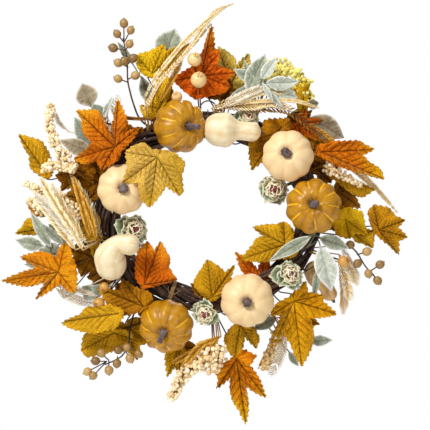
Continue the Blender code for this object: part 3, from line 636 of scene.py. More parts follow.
def buildHanger():
    eyeCentre = ring["centre"] + np.array([0, 0, ring["halfHeight"]]) \
        - front * (hanger["bandReach"] + hanger["eye"])
    band, eye = [], []
    for step in range(48):
        angle = 2 * math.pi * step / 48
        way = ringNormal(0) * math.cos(angle) + front * math.sin(angle)
        band.append(place(0) + way * hanger["bandReach"])
    for step in range(20):
        angle = 2 * math.pi * step / 20
        eye.append(eyeCentre + np.array([0, math.cos(angle), math.sin(angle)]) * hanger["eye"])
    basket = newBasket()
    addShape(basket, *tube(band, hanger["wire"], 10, True))
    addShape(basket, *tube(eye, hanger["wire"] * hanger["eyeWire"], 10, True))
    makePiece("hangerBand", basket, [hangerWire], nodes=["hanger_band"])
    loop = []
    half, tall = hanger["halfWidth"], hanger["height"]
    for share in np.linspace(-hanger["straight"], hanger["straight"], 8):
        loop.append(eyeCentre + np.array([share * half, 0, 0]))
    for step in range(25):
        angle = math.pi * step / 24
        loop.append(eyeCentre + np.array([half * math.cos(angle), 0, tall - half + half * math.sin(angle)]))
    loop[8:8] = [eyeCentre + np.array([half, 0, hanger["corner"]])]
    loop.append(eyeCentre + np.array([-half, 0, hanger["corner"]]))
    basket = newBasket()
    addShape(basket, *tube(loop, hanger["wire"], 10, True))
    makePiece("hangerLoop", basket, [hangerWire], "hanger", ["hanger_loop"])


buildVines()
buildTie()
buildHanger()
print("ring, tie and hanger built")

# leaves

# the hub's clock, out and ahead, then the outline's corners clockwise: heading and reach in mm
cutLeaves = {
    "topLeftOrange": (305, 17, 48, [(313, 66), (335, 49), (341, 13), (357, 36), (2, 59), (24, 36),
        (37, 23), (50, 38), (70, 22), (126, 10), (172, 18), (212, 32), (234, 28), (240, 42), (255, 53),
        (267, 33), (281, 28), (294, 43), (309, 53)]),
    "leftOrange": (248, 72, 30, [(261, 71), (267, 52), (277, 31), (285, 29), (291, 51), (315, 35),
        (334, 26), (351, 18), (0, 29), (12, 37), (27, 32), (44, 25), (82, 22), (122, 26), (142, 32),
        (158, 24), (170, 14), (195, 20), (221, 43), (232, 18), (246, 43)]),
    "bottomOrange": (169, 74, 6, [(32, 14), (81, 25), (115, 18), (130, 36), (144, 62), (154, 46),
        (163, 33), (166, 61), (172, 83), (177, 65), (185, 53), (192, 39), (198, 24), (213, 45), (221, 34),
        (243, 30), (252, 14), (326, 5)]),
    "lowerRightAmber": (136, 35, 20, [(30, 28), (59, 20), (78, 36), (92, 36), (107, 55), (117, 43),
        (137, 29), (147, 45), (158, 60), (173, 80), (178, 68), (184, 53), (199, 40), (205, 65), (212, 44),
        (221, 22), (238, 34), (266, 20), (304, 8)]),
    "rightOrange": (62, 34, 36, [(51, 21), (74, 48), (81, 53), (88, 64), (95, 50), (103, 60), (107, 75),
        (114, 83), (117, 56), (124, 34), (153, 10), (243, 7), (330, 9)]),
    "innerLeftRust": (221, 3, 21, [(3, 53), (10, 48), (16, 43), (20, 56), (34, 48), (45, 44), (54, 36),
        (70, 37), (81, 40), (88, 21), (117, 7), (196, 6), (309, 15), (347, 41)]),
    "topRust": (357, 57, 22, [(12, 65), (26, 38), (38, 38), (57, 23), (84, 43), (99, 32), (109, 38),
        (123, 36), (154, 27), (195, 29), (218, 27), (242, 29), (261, 34), (272, 29), (310, 16), (0, 27),
        (7, 35)]),
    "upperLeftHoney": (317, -26, 61, [(43, 12), (74, 21), (98, 34), (124, 37), (142, 52), (148, 53),
        (163, 36), (177, 47), (187, 60), (200, 53), (216, 38), (233, 50), (252, 37), (279, 38), (300, 30),
        (318, 23), (324, 11)]),
    "innerRightHoney": (113, -20, 20, [(357, 28), (14, 25), (37, 19), (73, 10), (119, 19), (146, 19),
        (207, 20), (223, 29), (240, 42), (251, 57), (270, 39), (282, 36), (292, 28), (298, 45), (315, 34),
        (337, 27)]),
    "innerBottomGold": (177, -4, 19, [(305, 29), (326, 33), (339, 37), (352, 46), (4, 41), (27, 34),
        (35, 48), (43, 33), (66, 30), (90, 9), (180, 6), (281, 15)]),
    "bottomGold": (164, 34, 14, [(100, 17), (125, 29), (146, 35), (160, 16), (175, 30), (190, 42),
        (214, 33), (233, 25), (256, 12), (326, 5), (53, 8)]),
    "underPumpkinGold": (192, 58, 6, [(45, 6), (148, 14), (180, 32), (190, 25), (201, 42), (236, 22),
        (292, 8)]),
    "lowerLeftOchre": (214, 26, 27, [(321, 43), (336, 26), (28, 19), (63, 13), (121, 4), (190, 5),
        (245, 25), (255, 42), (279, 47), (292, 61), (299, 43), (304, 35)]),
    "foldedOchre": (221, 49, 34, [(45, 8), (135, 8), (189, 18), (225, 34), (241, 46), (252, 60),
        (263, 71), (270, 48), (283, 41), (311, 16)]),
    "lowLeftOchre": (218, 73, 10, [(86, 22), (111, 25), (140, 20), (198, 27), (227, 45), (241, 46),
        (265, 37), (280, 27), (298, 13), (319, 6), (65, 11)]),
    "topLeftOchre": (338, 72, 8, [(352, 28), (22, 39), (32, 32), (43, 46), (51, 52), (65, 26), (117, 10),
        (190, 6), (264, 11), (293, 20), (320, 30)]),
    "foldedYellow": (335, 28, 21, [(356, 39), (20, 40), (33, 23), (135, 6), (207, 13), (225, 21),
        (255, 23), (280, 26), (290, 12)]),
    "topGolden": (10, 50, -2, [(342, 50), (356, 41), (11, 33), (17, 26), (30, 46), (45, 35), (74, 22),
        (117, 14), (214, 22), (304, 22)]),
    "outerRightGold": (41, 60, 2, [(341, 27), (22, 28), (37, 15), (129, 10), (150, 21), (180, 12),
        (270, 6)]),
    "behindCreamBrown": (41, 22, 21, [(207, 44), (215, 63), (236, 48), (247, 43), (257, 26), (293, 23),
        (41, 14), (90, 12), (180, 11)]),
    "farRightOchre": (96, 84, 14, [(349, 31), (27, 30), (52, 27), (70, 35), (83, 24), (104, 37),
        (119, 28), (140, 40), (145, 24), (191, 8), (306, 13), (329, 26)]),
    "rightGold": (93, 42, 16, [(67, 23), (104, 25), (125, 34), (144, 21), (166, 25), (205, 22), (248, 16),
        (307, 15), (11, 15)]),
    "rightBrown": (99, 57, 10, [(58, 14), (77, 27), (94, 24), (125, 27), (139, 14), (180, 8), (288, 5)]),
    "twoTone": (72, 33, 12, [(104, 19), (111, 59), (128, 50), (135, 34), (138, 18), (194, 6), (315, 4),
        (72, 10)]),
    "outerLeftOchre": (283, 78, 0, [(324, 62), (333, 53), (350, 42), (7, 25), (68, 8), (155, 6), (243, 7),
        (290, 22), (317, 33), (320, 48)]),
    "leftBrown": (288, 34, 6, [(265, 38), (285, 24), (304, 16), (6, 15), (76, 13), (153, 17), (223, 25),
        (234, 39), (246, 33)]),
    "smallLeftOchre": (270, 78, 0, [(300, 23), (347, 13), (27, 7), (153, 7), (247, 12)]),
    "leftYellow": (264, 86, -4, [(261, 28), (279, 20), (315, 19), (338, 16), (80, 6), (180, 6),
        (243, 14)]),
    "behindCreamGold": (48, 32, 4, [(0, 9), (93, 27), (101, 46), (116, 29), (146, 11), (243, 7)]),
    "slimYellow": (249, 25, 20, [(343, 22), (358, 36), (18, 19), (56, 5), (150, 4), (243, 3)]),
    "innerBrown": (186, -6, 12, [(324, 18), (346, 12), (29, 16), (63, 7), (180, 6), (292, 7)]),
}

plainLobes = {
    # corners of a symmetric leaf: degrees off the tip and share of the length, for one half
    "maple": [(0, 1.0), (13, 0.66), (26, 0.38), (45, 0.88), (60, 0.56), (74, 0.34), (99, 0.62), (122, 0.36),
              (152, 0.20), (180, 0.09)],
    "ivy": [(0, 1.0), (20, 0.64), (40, 0.80), (64, 0.52), (92, 0.62), (122, 0.42), (154, 0.24),
            (180, 0.10)],
}
ovalWidths = {"round": 0.44, "lamb": 0.23, "slim": 0.13, "magnolia": 0.29}
cutting = {"step": 1.3, "tooth": 2.2, "toothEvery": 5, "bulge": 0.08}
leafPressing = {
    # heat-pressed relief in mm and the spacing of the side veins as a share of the length
    "cut": {"fold": 0.28, "mainDip": 1.6, "branchDip": 1.7, "ripple": 3.6, "veinWidth": 0.95, "every": 0.12,
            "droop": 0.13, "cup": 0.22},
    "thick": 0.5 * mm,
    "oval": {"fold": 0.30, "mainDip": 0.8, "branchDip": 0.35, "ripple": 1.6, "veinWidth": 0.7,
             "every": 0.12,
             "droop": 0.18, "cup": -0.5},
}


def cutOutline(corners, turn):
    # tip along u, left-hand side along v, counterclockwise and in mm, with a saw-toothed edge
    tips = np.array([(reach * math.cos(math.radians(way - turn)),
                      -reach * math.sin(math.radians(way - turn)))
                     for way, reach in reversed(corners)])
    points = []
    for here, there in zip(tips, np.roll(tips, -1, 0)):
        along = there - here
        length = np.linalg.norm(along)
        outward = np.array([along[1], -along[0]]) / max(length, 1e-6)
        steps = max(2, int(length / cutting["step"]))
        for step in range(steps):
            share = step / steps
            rising = np.linalg.norm(there) > np.linalg.norm(here)
            turnStep = step if rising else steps - step
            saw = (turnStep % cutting["toothEvery"]) / (cutting["toothEvery"] - 1) - 0.4
            tooth = cutting["tooth"] * min(1.0, length / 22)
            lift = cutting["bulge"] * length * share * (1 - share) + (tooth * saw if step else 0)
            points.append(here + along * share + outward * lift)
    return np.array(points)


def ovalOutline(kind, length):
    shares = np.linspace(0, 1, 30)
    side = ovalWidths[kind] * np.sin(math.pi * shares ** 0.85)
    side[0] = side[-1] = 0
    left = [(u, w) for u, w in zip(shares[::-1], side[::-1])]
    right = [(u, -w) for u, w in zip(shares[1:-1], side[1:-1])]
    return np.array(left + right) * length


def veinLines(corners, turn, every):
    # ribs run from the hub to each lobe's tip and carry side veins
    ribs, branches = [], []
    longest = max(reach for _, reach in corners)
    for before, here, after in zip(corners[-1:] + corners[:-1], corners, corners[1:] + corners[:1]):
        if here[1] < 0.42 * longest or here[1] < before[1] or here[1] < after[1]:
            continue
        way = -math.radians(here[0] - turn)
        reach = here[1]
        ribs.append((0, 0, 0.97 * reach * math.cos(way), 0.97 * reach * math.sin(way)))
        share = 0.16
        while share < 0.86:
            for lean in (0.75, -0.75):
                length = 0.34 * reach * (1.05 - share)
                u, v = share * reach * math.cos(way), share * reach * math.sin(way)
                branches.append((u, v, u + length * math.cos(way + lean),
                                 v + length * math.sin(way + lean)))
            share += every * longest / reach
    return ribs, branches


def ovalVeins(kind, length, every):
    branches = []
    share = 0.12
    while share < 0.85:
        for lean in (0.8, -0.8):
            reach = ovalWidths[kind] * 1.1 * math.sin(math.pi * share ** 0.85) * length
            branches.append((share * length, 0, share * length + reach * math.cos(lean),
                             reach * math.sin(lean)))
        share += every
    return [(0, 0, 0.97 * length, 0)], branches


def lineDistance(flat, lines):
    best = np.full(len(flat), 99.0)
    for startU, startV, endU, endV in lines:
        alongU, alongV = endU - startU, endV - startV
        along = (flat[:, 0] - startU) * alongU + (flat[:, 1] - startV) * alongV
        share = np.clip(along / (alongU ** 2 + alongV ** 2), 0, 1)
        best = np.minimum(best, np.hypot(flat[:, 0] - startU - share * alongU,
                                         flat[:, 1] - startV - share * alongV))
    return best


def leafAxes(turn, lean, roll):
    tip = heading(turn) * math.cos(math.radians(lean)) + front * math.sin(math.radians(lean))
    face = unit(front - tip * front.dot(tip))
    across = np.cross(face, tip)
    angle = math.radians(roll)
    rolledAcross = across * math.cos(angle) + face * math.sin(angle)
    rolledFace = face * math.cos(angle) - across * math.sin(angle)
    return tip, rolledAcross, rolledFace


def addBlade(basket, outline, hub, veins, press, foot, turn, length, lean, roll, rings, seed, look):
    rng = random.Random(1000 + seed)
    tip, across, face = leafAxes(turn, lean, roll)
    count = len(outline)
    middle = np.array([hub, 0.0])
    shares = np.linspace(0, 1, rings + 1)[1:] ** 0.8
    flat = np.concatenate([middle[None]] + [middle + (outline - middle) * share for share in shares])
    share = np.concatenate([[0.0], np.repeat(shares, count)])
    faces = [(0, 1 + step, 1 + (step + 1) % count) for step in range(count)]
    for number in range(rings - 1):
        here = 1 + number * count
        for step in range(count):
            nxt = (step + 1) % count
            faces.append((here + step, here + count + step, here + count + nxt, here + nxt))
    toRib, toBranch = lineDistance(flat, veins[0]), lineDistance(flat, veins[1])
    u, v = flat[:, 0] / length, flat[:, 1] / length
    lift = (-press["droop"] * u * u - press["cup"] * v * v + 0.03) * length
    lift = lift + press["fold"] * np.minimum(toRib, 0.16 * length) * (1 - 0.4 * share ** 3)
    lift = lift - press["mainDip"] * np.exp(-(toRib / press["veinWidth"]) ** 2)
    puff = np.minimum(toBranch, 3.0) / 3.0
    lift = lift + press["branchDip"] * (puff * (2 - puff) - 0.5) * np.minimum(1, (1 - share) * 6)
    angle = np.arctan2(flat[:, 1], flat[:, 0] - hub)
    waves = sum(np.sin(angle * number + rng.uniform(0, 6.3)) for number in (4, 7, 11)) / 2
    lift = lift + press["ripple"] * share ** 2 * waves * length / 60
    points = foot + (np.outer(flat[:, 0], tip) + np.outer(flat[:, 1], across) + np.outer(lift, face)) * mm
    vein = np.maximum(np.exp(-(toRib / press["veinWidth"]) ** 2),
                      0.75 * np.exp(-(toBranch / press["veinWidth"]) ** 2))
    reach = np.hypot(flat[:, 0] - hub, flat[:, 1]) / length
    rim = share if hub else np.clip(reach * 1.05, 0, 1) * (0.6 + 0.4 * share)
    slant = rng.uniform(0, 6.3)
    shade = np.clip(0.5 + 1.1 * (u * math.cos(slant) + v * math.sin(slant)), 0, 1) * rng.uniform(0.4, 0.9)
    addShape(basket, points, faces, look, vein, rim, rng.random(), shade)
    return foot, tip, face, length * mm


def addLeaf(basket, kind, *pose, seed=0, look=0):
    # a cut leaf's pose is (lean, roll); any other leaf's is (clock, out, ahead, turn, length, lean, roll)
    if kind in cutLeaves:
        clock, out, ahead, corners = cutLeaves[kind]
        turn, length = max(corners, key=lambda corner: corner[1])
        lean, roll = (*pose, 0, 0)[:2]
    else:
        clock, out, ahead, turn, length, lean, roll = (*pose, 0, 0)[:7]
        half = plainLobes.get(kind, [])
        corners = [(turn + way, share * length) for way, share in half]
        corners += [(turn - way, share * length) for way, share in reversed(half) if 0 < way < 180]
    foot = place(clock, out, ahead)
    if corners:
        press, outline, hub = leafPressing["cut"], cutOutline(corners, turn), 0.0
        veins = veinLines(corners, turn, press["every"])
        rings = max(10, int(length / 1.9))
    else:
        press, outline, hub = leafPressing["oval"], ovalOutline(kind, length), 0.42 * length
        veins = ovalVeins(kind, length, press["every"])
        rings = 9
    return addBlade(basket, outline, hub, veins, press, foot, turn, length, lean, roll, rings, seed, look)


def addStalk(basket, clock, foot, tip, face, size, look, radius=0.65):
    way = unit(foot - place(clock))
    ringAlong = np.cross(ringNormal(clock), front)
    way = unit(way - ringAlong * way.dot(ringAlong))
    start = place(clock) + way * 9 * mm
    mouth = place(clock) + way * 19 * mm
    under = foot - tip * min(0.15 * size, 7 * mm) - face * 2.4 * mm
    path = smoothPath([start, mouth, under, foot + tip * 0.10 * size - face * 0.6 * mm], 5)
    addShape(basket, *tube(path, np.linspace(radius * 1.15, radius * 0.6, len(path)) * mm, 6), look)


sprigs = {
    # CAD node: record slot, root clock and its leaves, each with its look, its cut or kind and its pose
    "maple_top_left": ("maple_orange", 302, [("mapleOrange", "topLeftOrange", -4)]),
    "maple_left": ("maple_orange", 251, [("mapleFlame", "leftOrange")]),
    "maple_bottom": ("maple_orange", 175, [("mapleBright", "bottomOrange", -3)]),
    "maple_lower_right": ("maple_amber", 137, [("mapleAmber", "lowerRightAmber")]),
    "maple_right": ("maple_rust", 64, [("mapleCinnamon", "rightOrange", 0, 10)]),
    "maple_top": ("maple_rust", 4, [("mapleRed", "topRust")]),
    "maple_inner_left": ("maple_rust", 233, [("mapleRust", "innerLeftRust")]),
    "ivy_upper_left": ("ivy_ochre", 318, [("ivyHoney", "upperLeftHoney", 2, -10)]),
    "ivy_top_left": ("ivy_ochre", 339, [("ivyGold", "topLeftOchre"), ("ivyGold", "foldedYellow", 0, -10),
                                       ("ivyBrown", "ivy", 339, 31, 4, 14, 24)]),
    "ivy_top": ("ivy_ochre", 8, [("ivyPale", "topGolden"), ("ivyBrown", "ivy", 10, 44, 1, 248, 29)]),
    "ivy_top_right": ("ivy_ochre", 38, [("ivyBrown", "behindCreamBrown"), ("ivyGold", "outerRightGold")]),
    "ivy_right": ("ivy_ochre", 78, [("ivyOchre", "twoTone"), ("ivyUmber", "ivy", 81, 36, 3, 125, 36)]),
    "ivy_lower_right": ("ivy_ochre", 97, [("ivyGold", "rightGold"), ("ivyBrown", "farRightOchre"),
                                         ("ivyOchre", "rightBrown")]),
    "ivy_inner_right": ("ivy_ochre", 113, [("ivyOchre", "innerRightHoney", -4)]),
    "ivy_inner_bottom": ("ivy_ochre", 170, [("ivyOchre", "innerBottomGold"), ("ivyOchre", "bottomGold")]),
    "ivy_bottom_left": ("ivy_ochre", 196, [("ivyGold", "underPumpkinGold"), ("ivyOchre", "lowLeftOchre")]),
    "ivy_lower_left": ("ivy_brown", 217, [("ivyBrown", "lowerLeftOchre"),
                                          ("ivyOchre", "foldedOchre", 0, 20)]),
    "ivy_left_high": ("ivy_ochre", 293, [("ivyOchre", "outerLeftOchre"), ("ivyUmber", "leftBrown")]),
    "ivy_left_low": ("ivy_ochre", 264, [("ivyGold", "leftYellow"), ("ivyBrown", "smallLeftOchre")]),
    "felt_leaves_top": ("felt_green", 20, [("flockedSage", "slim", 19, 49, 26, 348, 36),
                                          ("flockedSage", "lamb", 18, 43, 32, 26, 52),
                                          ("flockedPale", "lamb", 23, 54, 34, 106, 47),
                                          ("flockedPale", "slim", 24, 53, 42, 135, 34),
                                          ("flockedSage", "slim", 19, 52, 30, 238, 37)]),
    "felt_leaves_upper_left": ("felt_green", 299, [("flockedSlate", "lamb", 299, 40, 14, 329, 45),
                                                  ("feltedMagnolia", "round", 312, 76, 6, 339, 31),
                                                  ("feltedMagnolia", "lamb", 297, 35, 26, 292, 44)]),
    "felt_leaves_left": ("felt_green", 257, [("flockedSage", "slim", 257, 71, 18, 329, 52),
                                            ("flockedSlate", "slim", 257, 55, 24, 313, 39),
                                            ("flockedSage", "lamb", 258, 80, 10, 283, 37),
                                            ("flockedSage", "lamb", 252, 78, 6, 266, 34)]),
    "felt_leaves_right": ("felt_green", 106, [("flockedSage", "slim", 103, 4, 39, 239, 59),
                                             ("flockedPale", "lamb", 107, 18, 34, 165, 57),
                                             ("flockedSage", "lamb", 103, 14, 36, 110, 38, 4)]),
}
looseLeaves = {
    # small or half-hidden leaves that ride on the wreath, grouped by the clock they sit near
    20: [("mapleRust", "maple", 46, 38, 8, 125, 36), ("ivyGold", "behindCreamGold"),
         ("feltedMagnolia", "magnolia", 47, 53, 2, 119, 50), ("feltedMagnolia", "round", 43, 63, 4, 76, 15),
         ("ivyBrown", "ivy", 45, 38, -4, 49, 26)],
    22: [("flockedPale", "lamb", 22, 62, 36, 34, 32, 12), ("flockedPale", "slim", 23, 58, 44, 152, 27, 14),
         ("flockedSage", "lamb", 20, 58, 30, 300, 30, 6),
         ("flockedPale", "lamb", 24, 60, 38, 92, 40, 8, 25)],
    312: [("ivyBrown", "ivy", 313, 8, 6, 296, 36), ("ivyUmber", "ivy", 303, 6, 4, 332, 34),
          ("ivyBrown", "ivy", 337, 16, 8, 352, 36)],
    270: [("ivyBrown", "ivy", 276, 22, 8, 318, 38), ("ivyOchre", "ivy", 262, 16, 20, 282, 30),
          ("ivyUmber", "ivy", 286, 26, 2, 262, 36)],
    75: [("ivyUmber", "ivy", 70, 22, 4, 40, 34), ("ivyBrown", "ivy", 92, 24, 4, 70, 32),
         ("ivyBrown", "ivy", 60, 28, 4, 28, 34)],
    250: [("ivyBrown", "ivy", 249, 30, 0, 250, 36), ("ivyUmber", "ivy", 240, 26, 2, 212, 30)],
    208: [("ivyUmber", "ivy", 206, 28, 2, 236, 34), ("ivyBrown", "ivy", 222, 22, 2, 262, 34)],
    140: [("mapleRust", "maple", 144, -2, 4, 322, 51), ("ivyBrown", "ivy", 139, 57, 4, 109, 26),
          ("flockedSage", "lamb", 142, 87, 4, 88, 29), ("flockedSage", "lamb", 150, 86, 2, 146, 22),
          ("flockedSlate", "lamb", 147, 42, 2, 243, 33), ("flockedSage", "slim", 117, 30, 20, 189, 37)],
    186: [("ivyUmber", "innerBrown"), ("ivyBrown", "ivy", 191, 59, 0, 191, 32),
          ("ivyOchre", "ivy", 215, 60, 4, 163, 42)],
    240: [("ivyGold", "slimYellow"), ("flockedSage", "round", 232, 53, 12, 306, 24),
          ("flockedSlate", "round", 232, 43, 18, 300, 17), ("flockedSage", "lamb", 257, 49, 10, 312, 36),
          ("flockedSage", "round", 253, 62, 14, 286, 30), ("flockedSlate", "lamb", 241, 64, 4, 231, 16)],
    295: [("ivyBrown", "ivy", 293, 33, 2, 192, 36), ("ivyOchre", "ivy", 336, 29, 10, 265, 27),
          ("flockedSlate", "round", 311, 55, 16, 331, 22), ("flockedPale", "slim", 312, 55, 20, 23, 28)],
    335: [("flockedSage", "round", 344, 86, -4, 19, 41), ("flockedSlate", "slim", 333, 92, 0, 326, 35),
          ("flockedSlate", "lamb", 332, 40, -2, 342, 36)],
}


def pieceName(node):
    words = node.split("_")
    return words[0] + "".join(word.capitalize() for word in words[1:])


def buildLeafSpray(name, root, leaves, seed, nodes):
    basket = newBasket()
    looks = list(dict.fromkeys(leaf[0] for leaf in leaves))
    stalk = greenTwig if looks[0] in flockLooks else twigBark
    for index, (look, kind, *pose) in enumerate(leaves):
        held = addLeaf(basket, kind, *pose, seed=seed + index, look=looks.index(look))
        clock = root if nodes else (cutLeaves[kind][0] if kind in cutLeaves else pose[0])
        addStalk(basket, clock + index * 1.5, *held, look=len(looks))
    fronts = [leafLooks[look][0] for look in looks] + [stalk]
    backs = [leafLooks[look][1] for look in looks] + [stalk]
    makePiece(name, basket, fronts + backs, nodes=nodes, thick=leafPressing["thick"])


def buildSprigs():
    for number, (node, (slot, root, leaves)) in enumerate(sprigs.items()):
        buildLeafSpray(pieceName(node), root, leaves, number * 7, [node])
    for number, (root, leaves) in enumerate(looseLeaves.items()):
        buildLeafSpray(f"looseLeaves{number + 1}", root, leaves, 300 + number * 9, ())


buildSprigs()
print("leaf sprigs built")

# pumpkins, gourds and buds

pumpkins = {
    # clock, out, ahead, radius, stem leans towards, tilt, stem length, stem tip towards, ribs, seed
    "gold_1": (342, -1, 43, 31.1, 95, 30, 14, 100, 10, 1),
    "gold_2": (87, 2, 44, 32.3, 320, 8, 13, 95, 10, 2),
    "gold_3": (200, 37, 32, 31.7, 205, 20, 14, 200, 10, 3),
    "cream_1": (285, -17, 39, 29.4, 90, 3, 9, 60, 9, 4),
    "cream_2": (55, -1, 42, 29.9, 320, 8, 9, 300, 9, 5),
    "cream_3": (156, 6, 43, 31.1, 200, 6, 9, 20, 9, 6),
}
pumpkinShape = {"flatness": 0.80, "creaseDepth": 0.040, "creaseWidth": 0.15, "lobeDepth": 0.018,
                "seat": 0.80, "stemRadius": 3.6 * mm}


def buildPumpkin(key, clock, out, ahead, radius, turn, tilt, stemLength, stemTurn, ribs, seed):
    rng = random.Random(seed)
    gold = key.startswith("gold")
    axis = unit(front * math.cos(math.radians(tilt)) + heading(turn) * math.sin(math.radians(tilt)))
    centre = place(clock, out, ahead)
    wide = radius * mm * 1.03
    high = radius * mm * pumpkinShape["flatness"]
    seat = high * pumpkinShape["seat"]
    edges = np.array([2 * math.pi * (number + rng.uniform(-0.16, 0.16)) / ribs for number in range(ribs)])
    brightness = np.array([rng.choice((0.0, 0.75, 1.0)) for _ in range(ribs)])

    def gap(angles):
        apart = np.abs((angles[:, None] - edges[None] + math.pi) % (2 * math.pi) - math.pi)
        return apart.min(1), apart.argmin(1)

    def swell(angles, share):
        apart, _ = gap(angles)
        crease = np.exp(-(apart / pumpkinShape["creaseWidth"]) ** 2)
        depth = pumpkinShape["creaseDepth"] * (1.2 if gold else 0.8) * (0.7 + 1.6 * share ** 3)
        fullness = 1.5 if gold else 1.0
        lobe = pumpkinShape["lobeDepth"] * fullness * np.cos(ribs * apart) * (0.4 + 0.6 * share)
        return 1.0 - depth * crease - lobe

    profile = [(0, -high * 0.84)]
    profile += [(wide * share, -high * (0.84 + 0.11 * math.sin(share / 0.34 * math.pi / 2)))
                for share in (0.12, 0.24, 0.34)]
    for degrees in np.linspace(-58, 62, 26):
        angle = math.radians(degrees)
        profile.append((wide * math.cos(angle) ** 0.8, high * math.sin(angle) * 1.02))
    profile += [(wide * 0.44, high * 0.955), (wide * 0.36, high * 0.955), (wide * 0.27, high * 0.91),
                (wide * 0.19, high * 0.845), (4.4 * mm, seat + 0.2 * mm), (0, seat)]
    points, faces, angles = turned(profile, axis, centre, 120, swell)
    apart, nearest = gap(angles)
    # painted shade: a dark band of paint along each crease
    crease = np.exp(-(apart / 0.07) ** 2) * 0.45
    streak = np.exp(-(apart / 0.050) ** 2) * brightness[nearest]
    rings = len(profile) - 2
    heights = np.linspace(0, 1, rings)
    creaseShadeAll = np.concatenate([[0], np.outer(np.ones(rings), crease).ravel(), [0]])
    crown = np.clip((heights - 0.46) / 0.10, 0, 1) * np.clip((0.90 - heights) / 0.10, 0, 1)
    # cream pumpkins get a painted highlight, lighter towards the stem end and away from the creases; gold
    # ones keep real yellow streaks in the creases nearer the stem
    if not gold:
        crown = np.clip((heights - 0.35) / 0.3, 0, 1)
        streak = 1 - crease
    streakAndHighlightAll = np.concatenate([[0], np.outer(crown, streak).ravel(), [0]])
    basket = newBasket()
    addShape(basket, points, faces, 0, creaseShadeAll, 0.0, 0.5, streakAndHighlightAll)
    addShape(basket, *tube(smoothPath([place(clock) + unit(centre - place(clock)) * 8 * mm,
                                       centre - axis * high * 0.5]), 1.5 * mm, 6), 1)
    colourName, number = key.split("_")
    makePiece(f"{colourName}Pumpkin{number}", basket, [goldFoam if gold else creamFoam, twigBark],
              nodes=[f"{colourName}_pumpkin_{number}"])

    stem = newBasket()
    foot = centre + axis * (seat + 0.3 * mm)
    reach = stemLength * mm
    bend = heading(stemTurn)
    path = smoothPath([foot, foot + axis * reach * 0.4, foot + axis * reach * 0.75 + bend * reach * 0.22,
                       foot + axis * reach * 0.95 + bend * reach * 0.5], 6)
    count = len(path)
    swells = [1.75, 1.15, 0.8, 0.9, 0.84] if gold else [1.5, 1.35, 1.3, 1.4, 1.3]
    radii = pumpkinShape["stemRadius"] * np.interp(np.linspace(0, 1, count), [0, 0.15, 0.5, 0.85, 1],
                                                   swells)
    sides = 30
    shaft, shaftFaces = tube(path, radii, sides)
    ridge = 1 + 0.18 * np.cos(np.arange(sides) * 2 * math.pi * 5 / sides)
    middles = np.repeat(path, sides, 0)
    shaft = middles + (shaft - middles) * np.tile(ridge, count)[:, None]
    addShape(stem, shaft, shaftFaces)
    makePiece(f"{colourName}Stem{number}", stem, [stemBark], nodes=[f"{colourName}_stem_{number}"])


for pumpkinKey, pumpkinValues in pumpkins.items():
    buildPumpkin(pumpkinKey, *pumpkinValues)
print("pumpkins built")

gourds = {
    # points along the fruit as (clock, out, ahead) and the radii there
    "gourd_1": ([(8, -8, 40), (14, -7, 41), (20, -5, 41), (29, -1, 40)], [20, 21, 11, 11.5], ivoryFoam),
    "gourd_2": ([(241, 13, 38), (246, 7, 42), (250, -8, 48), (247, -21, 52)], [18, 19, 11, 12.5],
                ivoryFoam),
    "gourd_3": ([(119, 31, -3), (121, 38, -3), (122, 50, -4), (124, 62, -5)], [14, 13, 9, 9], tanFoam),
}


def buildGourd(node, points, radii, look):
    path = [place(*point) for point in points]
    sizes = [radius * mm for radius in radii]
    fine = np.array(smoothPath(path, 10))
    along = np.concatenate([[0], np.cumsum(np.linalg.norm(np.diff(fine, axis=0), axis=1))])
    stations = [along[index * 10] for index in range(len(path))]
    swell = np.interp(along, stations, sizes)
    kernel = np.hanning(11) / np.hanning(11).sum()
    swell = np.convolve(np.pad(swell, 5, "edge"), kernel, "valid")
    caps = np.linspace(0, 1, 12)[:-1]
    first = unit(fine[0] - fine[1])
    last = unit(fine[-1] - fine[-2])
    head = [fine[0] + first * sizes[0] * 0.98 * math.cos(math.pi / 2 * share) for share in caps]
    headRadii = [sizes[0] * max(0.03, math.sin(math.pi / 2 * share)) for share in caps]
    ends = np.linspace(0.08, 1, 12)
    tail = [fine[-1] + last * sizes[-1] * 0.9 * math.sin(math.pi / 2 * share) for share in ends]
    tailRadii = [sizes[-1] * max(0.05, math.cos(math.pi / 2 * share)) for share in ends]
    spine = head + list(fine) + tail
    radiiAll = headRadii + list(swell) + tailRadii
    sides = 40
    skin, faces = tube(spine, radiiAll, sides)
    angles = np.tile(np.arange(sides) * 2 * math.pi / sides, len(spine))
    folds = 1 + 0.022 * np.cos(angles * 6) + 0.01 * np.cos(angles * 3 + 1)
    centres = np.repeat(spine, sides, 0)
    skin = centres + (skin - centres) * folds[:, None]
    # painted shade in the shallow folds and a painted highlight on the ridges between them
    crease = np.clip(-np.cos(angles * 6), 0, 1) ** 3 * 0.6
    basket = newBasket()
    addShape(basket, skin, faces, 0, crease, 0, 0.5, 0.5 - 0.5 * crease)
    nub = [tail[-1], tail[-1] + last * 2 * mm, tail[-1] + last * 3.4 * mm + front * 0.8 * mm]
    addShape(basket, *tube(smoothPath(nub, 3), np.array([2.6, 2.4, 1.9, 1.6, 1.5, 1.6, 1.5]) * mm, 10), 1)
    addShape(basket, *tube(smoothPath([place(points[1][0]), path[1]]), 1.5 * mm, 6), 1)
    makePiece(pieceName(node), basket, [look, stemBark], nodes=[node])


for gourdNode, gourdValues in gourds.items():
    buildGourd(gourdNode, *gourdValues)

